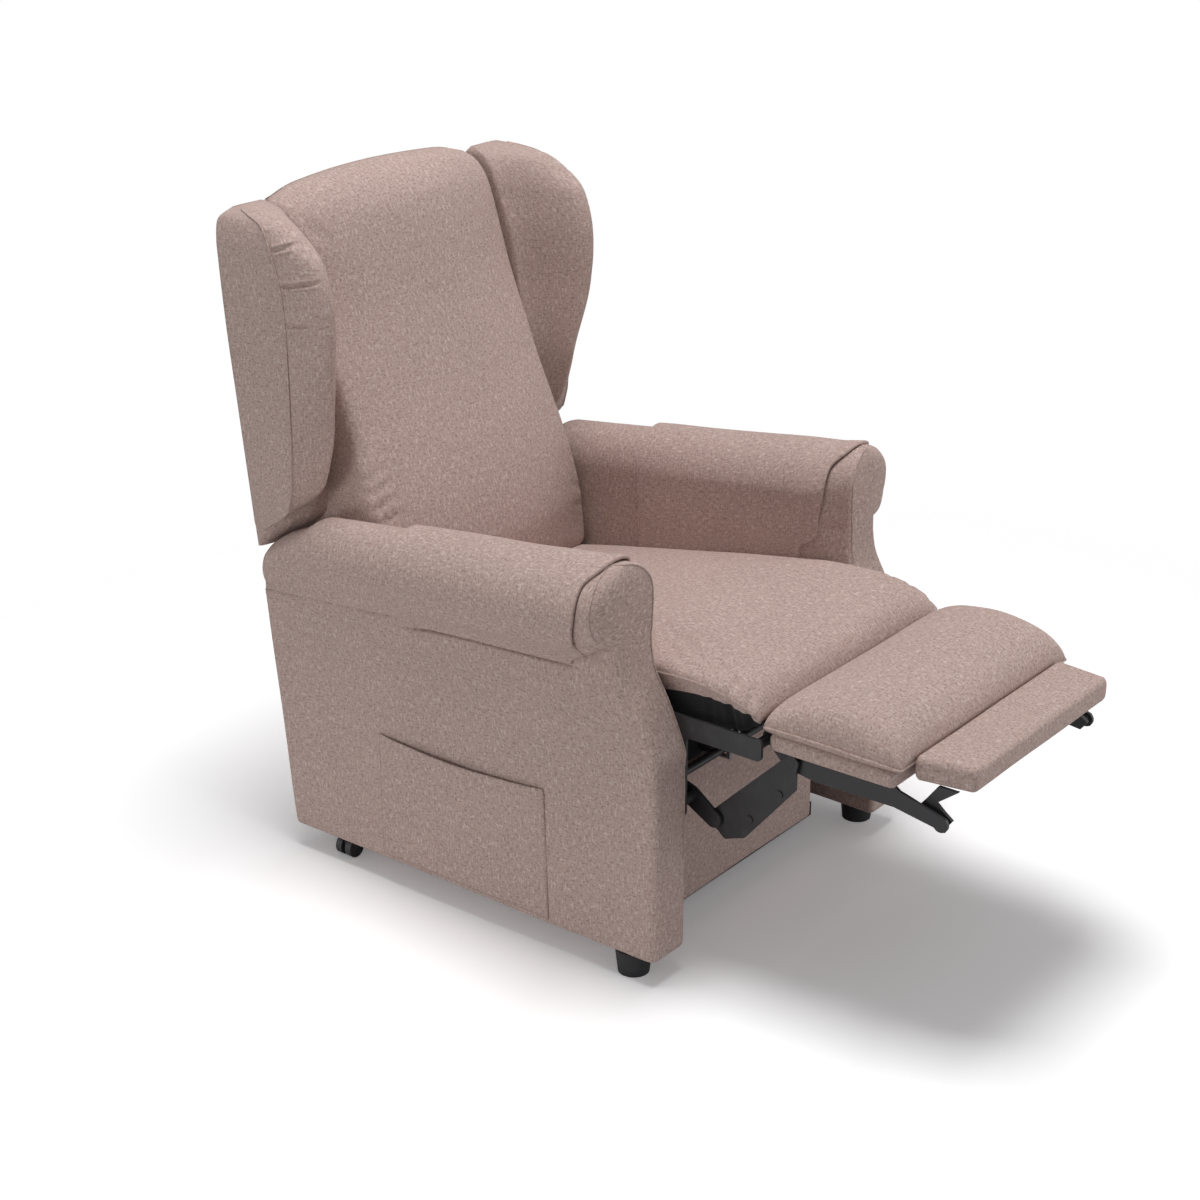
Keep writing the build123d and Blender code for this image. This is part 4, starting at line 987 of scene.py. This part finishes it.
def padPiece():
    look = padLook
    table = look["rows"]
    rings = []
    for y in spread(116.5, 140, 14) + spread(140, 320, 46)[1:] + spread(320, 345, 16)[1:]:
        half, edge, crown = readTable(table, y)
        rings.append(cushionRing(-y, half, edge, crown, look["low"], look["low"], (130, 3, 30), 10, 2.6))
    flatten = lambda p, end: Vector((p.x * 0.99, p.y, look["endHigh"] / 1000))
    shape = skinRings(closeEnds(rings, flatten))
    handMade(shape, 1.6, 6, 3.0)
    path = []
    for side in (-1, 1):
        for y in spread(120, 344, 50) if side < 0 else spread(344, 120, 50):
            half, edge, crown = readTable(table, y)
            path.append(at(side * (half + 0.4), -y, edge - 1.5))
    return makePiece("legPad", [shape, weltAlong(path, look["welt"], 8)], [taupe])


legPad = padPiece()
plump(legPad, 6, lambda x, y, z: 1 if z < 446 or y > -124 or y < -336 else 0)
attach(legPad, "footrest")
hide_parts("footrest_pad")

plateLook = {
    "rear": -347, "front": -440, "halfRear": 212, "halfFront": 198, "low": 408, "high": 446,
    "round": 9, "pillow": 1.8,
}


def platePiece():
    look = plateLook
    r = look["round"]
    middle = (look["low"] + look["high"]) / 2
    ends = roundEnd(r, 5)
    spots = [(look["rear"] - a, b) for a, b in ends]
    spots += [(y, 0) for y in spread(look["rear"] - r, look["front"] + r, 30)[1:-1]]
    spots += [(look["front"] + a, b) for a, b in reversed(ends)]
    rings = []
    for y, inset in spots:
        share = (y - look["rear"]) / (look["front"] - look["rear"])
        half = mix(look["halfRear"], look["halfFront"], share) - inset
        line = roundRect(-half, half, look["low"] + inset, look["high"] - inset, r, (80, 8, 5))
        pillow = look["pillow"] * math.sin(math.pi * share)
        rise = lambda x, z: pillow * (1 - (x / half) ** 4) if z > middle + 1 else 0
        rings.append([at(x, y, z + rise(x, z)) for x, z in line])
    flatten = lambda p, end: Vector((p.x * 0.97, p.y, middle / 1000))
    shape = skinRings(closeEnds(rings, flatten))
    handMade(shape, 0.9, 7, 6.0)
    return makePiece("toePlate", [shape], [taupe])


toePlate = platePiece()
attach(toePlate, "footplate")
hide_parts("footplate")
print("footrest made")

# Black cloth: seat straps and the curtain above the front apron
strapLook = {
    "count": 6, "wide": 56, "first": 123.5, "pitch": 83.0, "thick": 2.0,
    "start": 80, "run": 528, "high": 375, "fall": 37,
}


def strapsPiece():
    look = strapLook
    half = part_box("seat_webbing")[1].x * 1000
    shapes = []
    for k in range(look["count"]):
        rows = []
        for v in spread(0, 1, 8):
            y = look["first"] + k * look["pitch"] + look["wide"] * v
            z = look["high"] - look["fall"] * (y - look["start"]) / look["run"] + look["thick"]
            rows.append([at(x, y, z) for x in spread(-half, half, 40)])
        shape = skinRings(rows, shut=False)
        if sum(f.normal.z for f in shape.faces) < 0:
            bmesh.ops.reverse_faces(shape, faces=shape.faces)
        bmesh.ops.solidify(shape, geom=shape.faces[:], thickness=look["thick"] / 1000)
        shapes.append(shape)
    return makePiece("seatStraps", shapes, [blackCloth])


straps = strapsPiece()
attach(straps, "chair")
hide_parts("seat_webbing")


# in metres; the slot lets the footrest's rod through
curtainLook = {"wave": 0.0012, "slot": 0.019, "thick": 0.0014}


def curtainPiece():
    look = curtainLook
    low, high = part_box("dust_curtain")
    rows = []
    for v in spread(0, 1, 14):
        row = []
        for u in spread(0, 1, 120):
            x = mix(low.x, high.x, u)
            z = mix(low.z, high.z, v)
            wave = look["wave"] * math.sin(61 * u + 2 * math.sin(7 * u)) * (1 - v)
            row.append(Vector((x, 0.5 * (low.y + high.y) + wave, z)))
        rows.append(row)
    shape = skinRings(rows, shut=False)
    hole = [f for f in shape.faces if abs(f.calc_center_median().x) < look["slot"]]
    bmesh.ops.delete(shape, geom=hole, context="FACES")
    bmesh.ops.solidify(shape, geom=shape.faces[:], thickness=look["thick"])
    return makePiece("dustCurtain", [shape], [blackCloth])


curtain = curtainPiece()
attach(curtain, "chair")
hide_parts("dust_curtain")
print("black cloth made")

# Floor, light and camera
floorLook = {"size": 14, "bounce": (0.85, 0.85, 0.86, 1), "seen": (1.28, 1.28, 1.28, 1), "glow": 0.16,
             "fade": (1.0, 2.0)}
bpy.ops.mesh.primitive_plane_add(size=floorLook["size"])
floor = bpy.context.object
floor.name = "studioFloor"
floorMaterial = bpy.data.materials.new("studioFloor")
floorMaterial.use_nodes = True
tree = floorMaterial.node_tree
tree.nodes.remove(tree.nodes["Principled BSDF"])
seen = addNode(tree, "ShaderNodeLightPath", (-700, 500)).outputs["Is Camera Ray"]
tint = mixColour(tree, "MIX", (-450, 300), seen, floorLook["bounce"], floorLook["seen"])
glow = mathNode(tree, "MULTIPLY", (-450, 500), seen, floorLook["glow"])
plain = addNode(tree, "ShaderNodeBsdfDiffuse", (-200, 300), Color=tint)
glow = addNode(tree, "ShaderNodeEmission", (-200, 500), Strength=glow)
shader = addNode(tree, "ShaderNodeAddShader", (50, 300))
feed(tree, shader, {0: plain.outputs[0], 1: glow.outputs[0]})
place = addNode(tree, "ShaderNodeTexCoord", (-1100, -200))
reach = addNode(tree, "ShaderNodeVectorMath", (-900, -200))
reach.operation = "LENGTH"
feed(tree, reach, {0: place.outputs["Object"]})
faded = between(tree, (-700, -200), reach.outputs["Value"], *floorLook["fade"])  # into the white
clear = addNode(tree, "ShaderNodeBsdfTransparent", (0, -300))
both = addNode(tree, "ShaderNodeMixShader", (350, 0))
feed(tree, both, {0: faded, 1: shader.outputs[0], 2: clear.outputs[0]})
feed(tree, tree.nodes["Material Output"], {"Surface": both.outputs[0]})
floor.data.materials.append(floorMaterial)

worldLook = {"fill": (0.97, 0.97, 1, 1), "power": 0.24}
world = bpy.data.worlds.new("studio")
bpy.context.scene.world = world
world.use_nodes = True
tree = world.node_tree
tree.nodes.clear()
path = addNode(tree, "ShaderNodeLightPath", (-700, 200))
seen = mathNode(tree, "MAXIMUM", (-500, 200), path.outputs["Is Camera Ray"], path.outputs["Is Glossy Ray"])
seen = mathNode(tree, "MAXIMUM", (-300, 200), seen, path.outputs["Is Transmission Ray"])
fill = addNode(tree, "ShaderNodeBackground", (-300, 0), Color=worldLook["fill"], Strength=worldLook["power"])
white = addNode(tree, "ShaderNodeBackground", (-300, -150), Color=(1, 1, 1, 1), Strength=1.0)
blendIn = addNode(tree, "ShaderNodeMixShader", (0, 0))
feed(tree, blendIn, {0: seen, 1: fill.outputs[0], 2: white.outputs[0]})
addNode(tree, "ShaderNodeOutputWorld", (250, 0), Surface=blendIn.outputs[0])

# place, aim, size, power, and whether it lights the floor
lampLook = {
    "overhead": ((-0.1, 0.15, 4.5), (0, -0.1, 0.3), 1.7, 112, True),
    "frontRight": ((1.6, -2.2, 1.4), (0, 0.1, 0.5), 1.5, 13, False),
    "frontLow": ((0.6, -3.0, 0.9), (0, 0.1, 0.4), 1.2, 11, False),
    "sideLow": ((-3.3, 0.5, 0.5), (0, 0.1, 0.4), 1.0, 21, False),
    "sideHigh": ((-2.6, 1.2, 2.2), (0, 0.2, 0.6), 0.8, 5, False),
}
offFloor = bpy.data.collections.new("offFloor")
offFloor.objects.link(floor)
offFloor.collection_objects[0].light_linking.link_state = "EXCLUDE"
for name, (place, aim, size, power, reachesFloor) in lampLook.items():
    lamp = bpy.data.lights.new(name, "AREA")
    lamp.energy = power
    lamp.size = size
    holder = bpy.data.objects.new(name, lamp)
    holder.location = place
    holder.rotation_euler = (Vector(aim) - Vector(place)).to_track_quat("-Z", "Y").to_euler()
    bpy.context.scene.collection.objects.link(holder)
    if not reachesFloor:
        holder.light_linking.receiver_collection = offFloor

cameraLook = {"place": (-2.8229, -2.0379, 1.9202), "ahead": (0.7281, 0.5671, -0.3849), "lens": 71.14}
camera = bpy.data.cameras.new("photoView")
camera.lens = cameraLook["lens"]
camera.sensor_width = 36
holder = bpy.data.objects.new("photoView", camera)
holder.location = cameraLook["place"]
holder.rotation_euler = Vector(cameraLook["ahead"]).to_track_quat("-Z", "Y").to_euler()
bpy.context.scene.collection.objects.link(holder)
bpy.context.scene.camera = holder
bpy.context.scene.view_settings.view_transform = "Standard"
print("stage set")
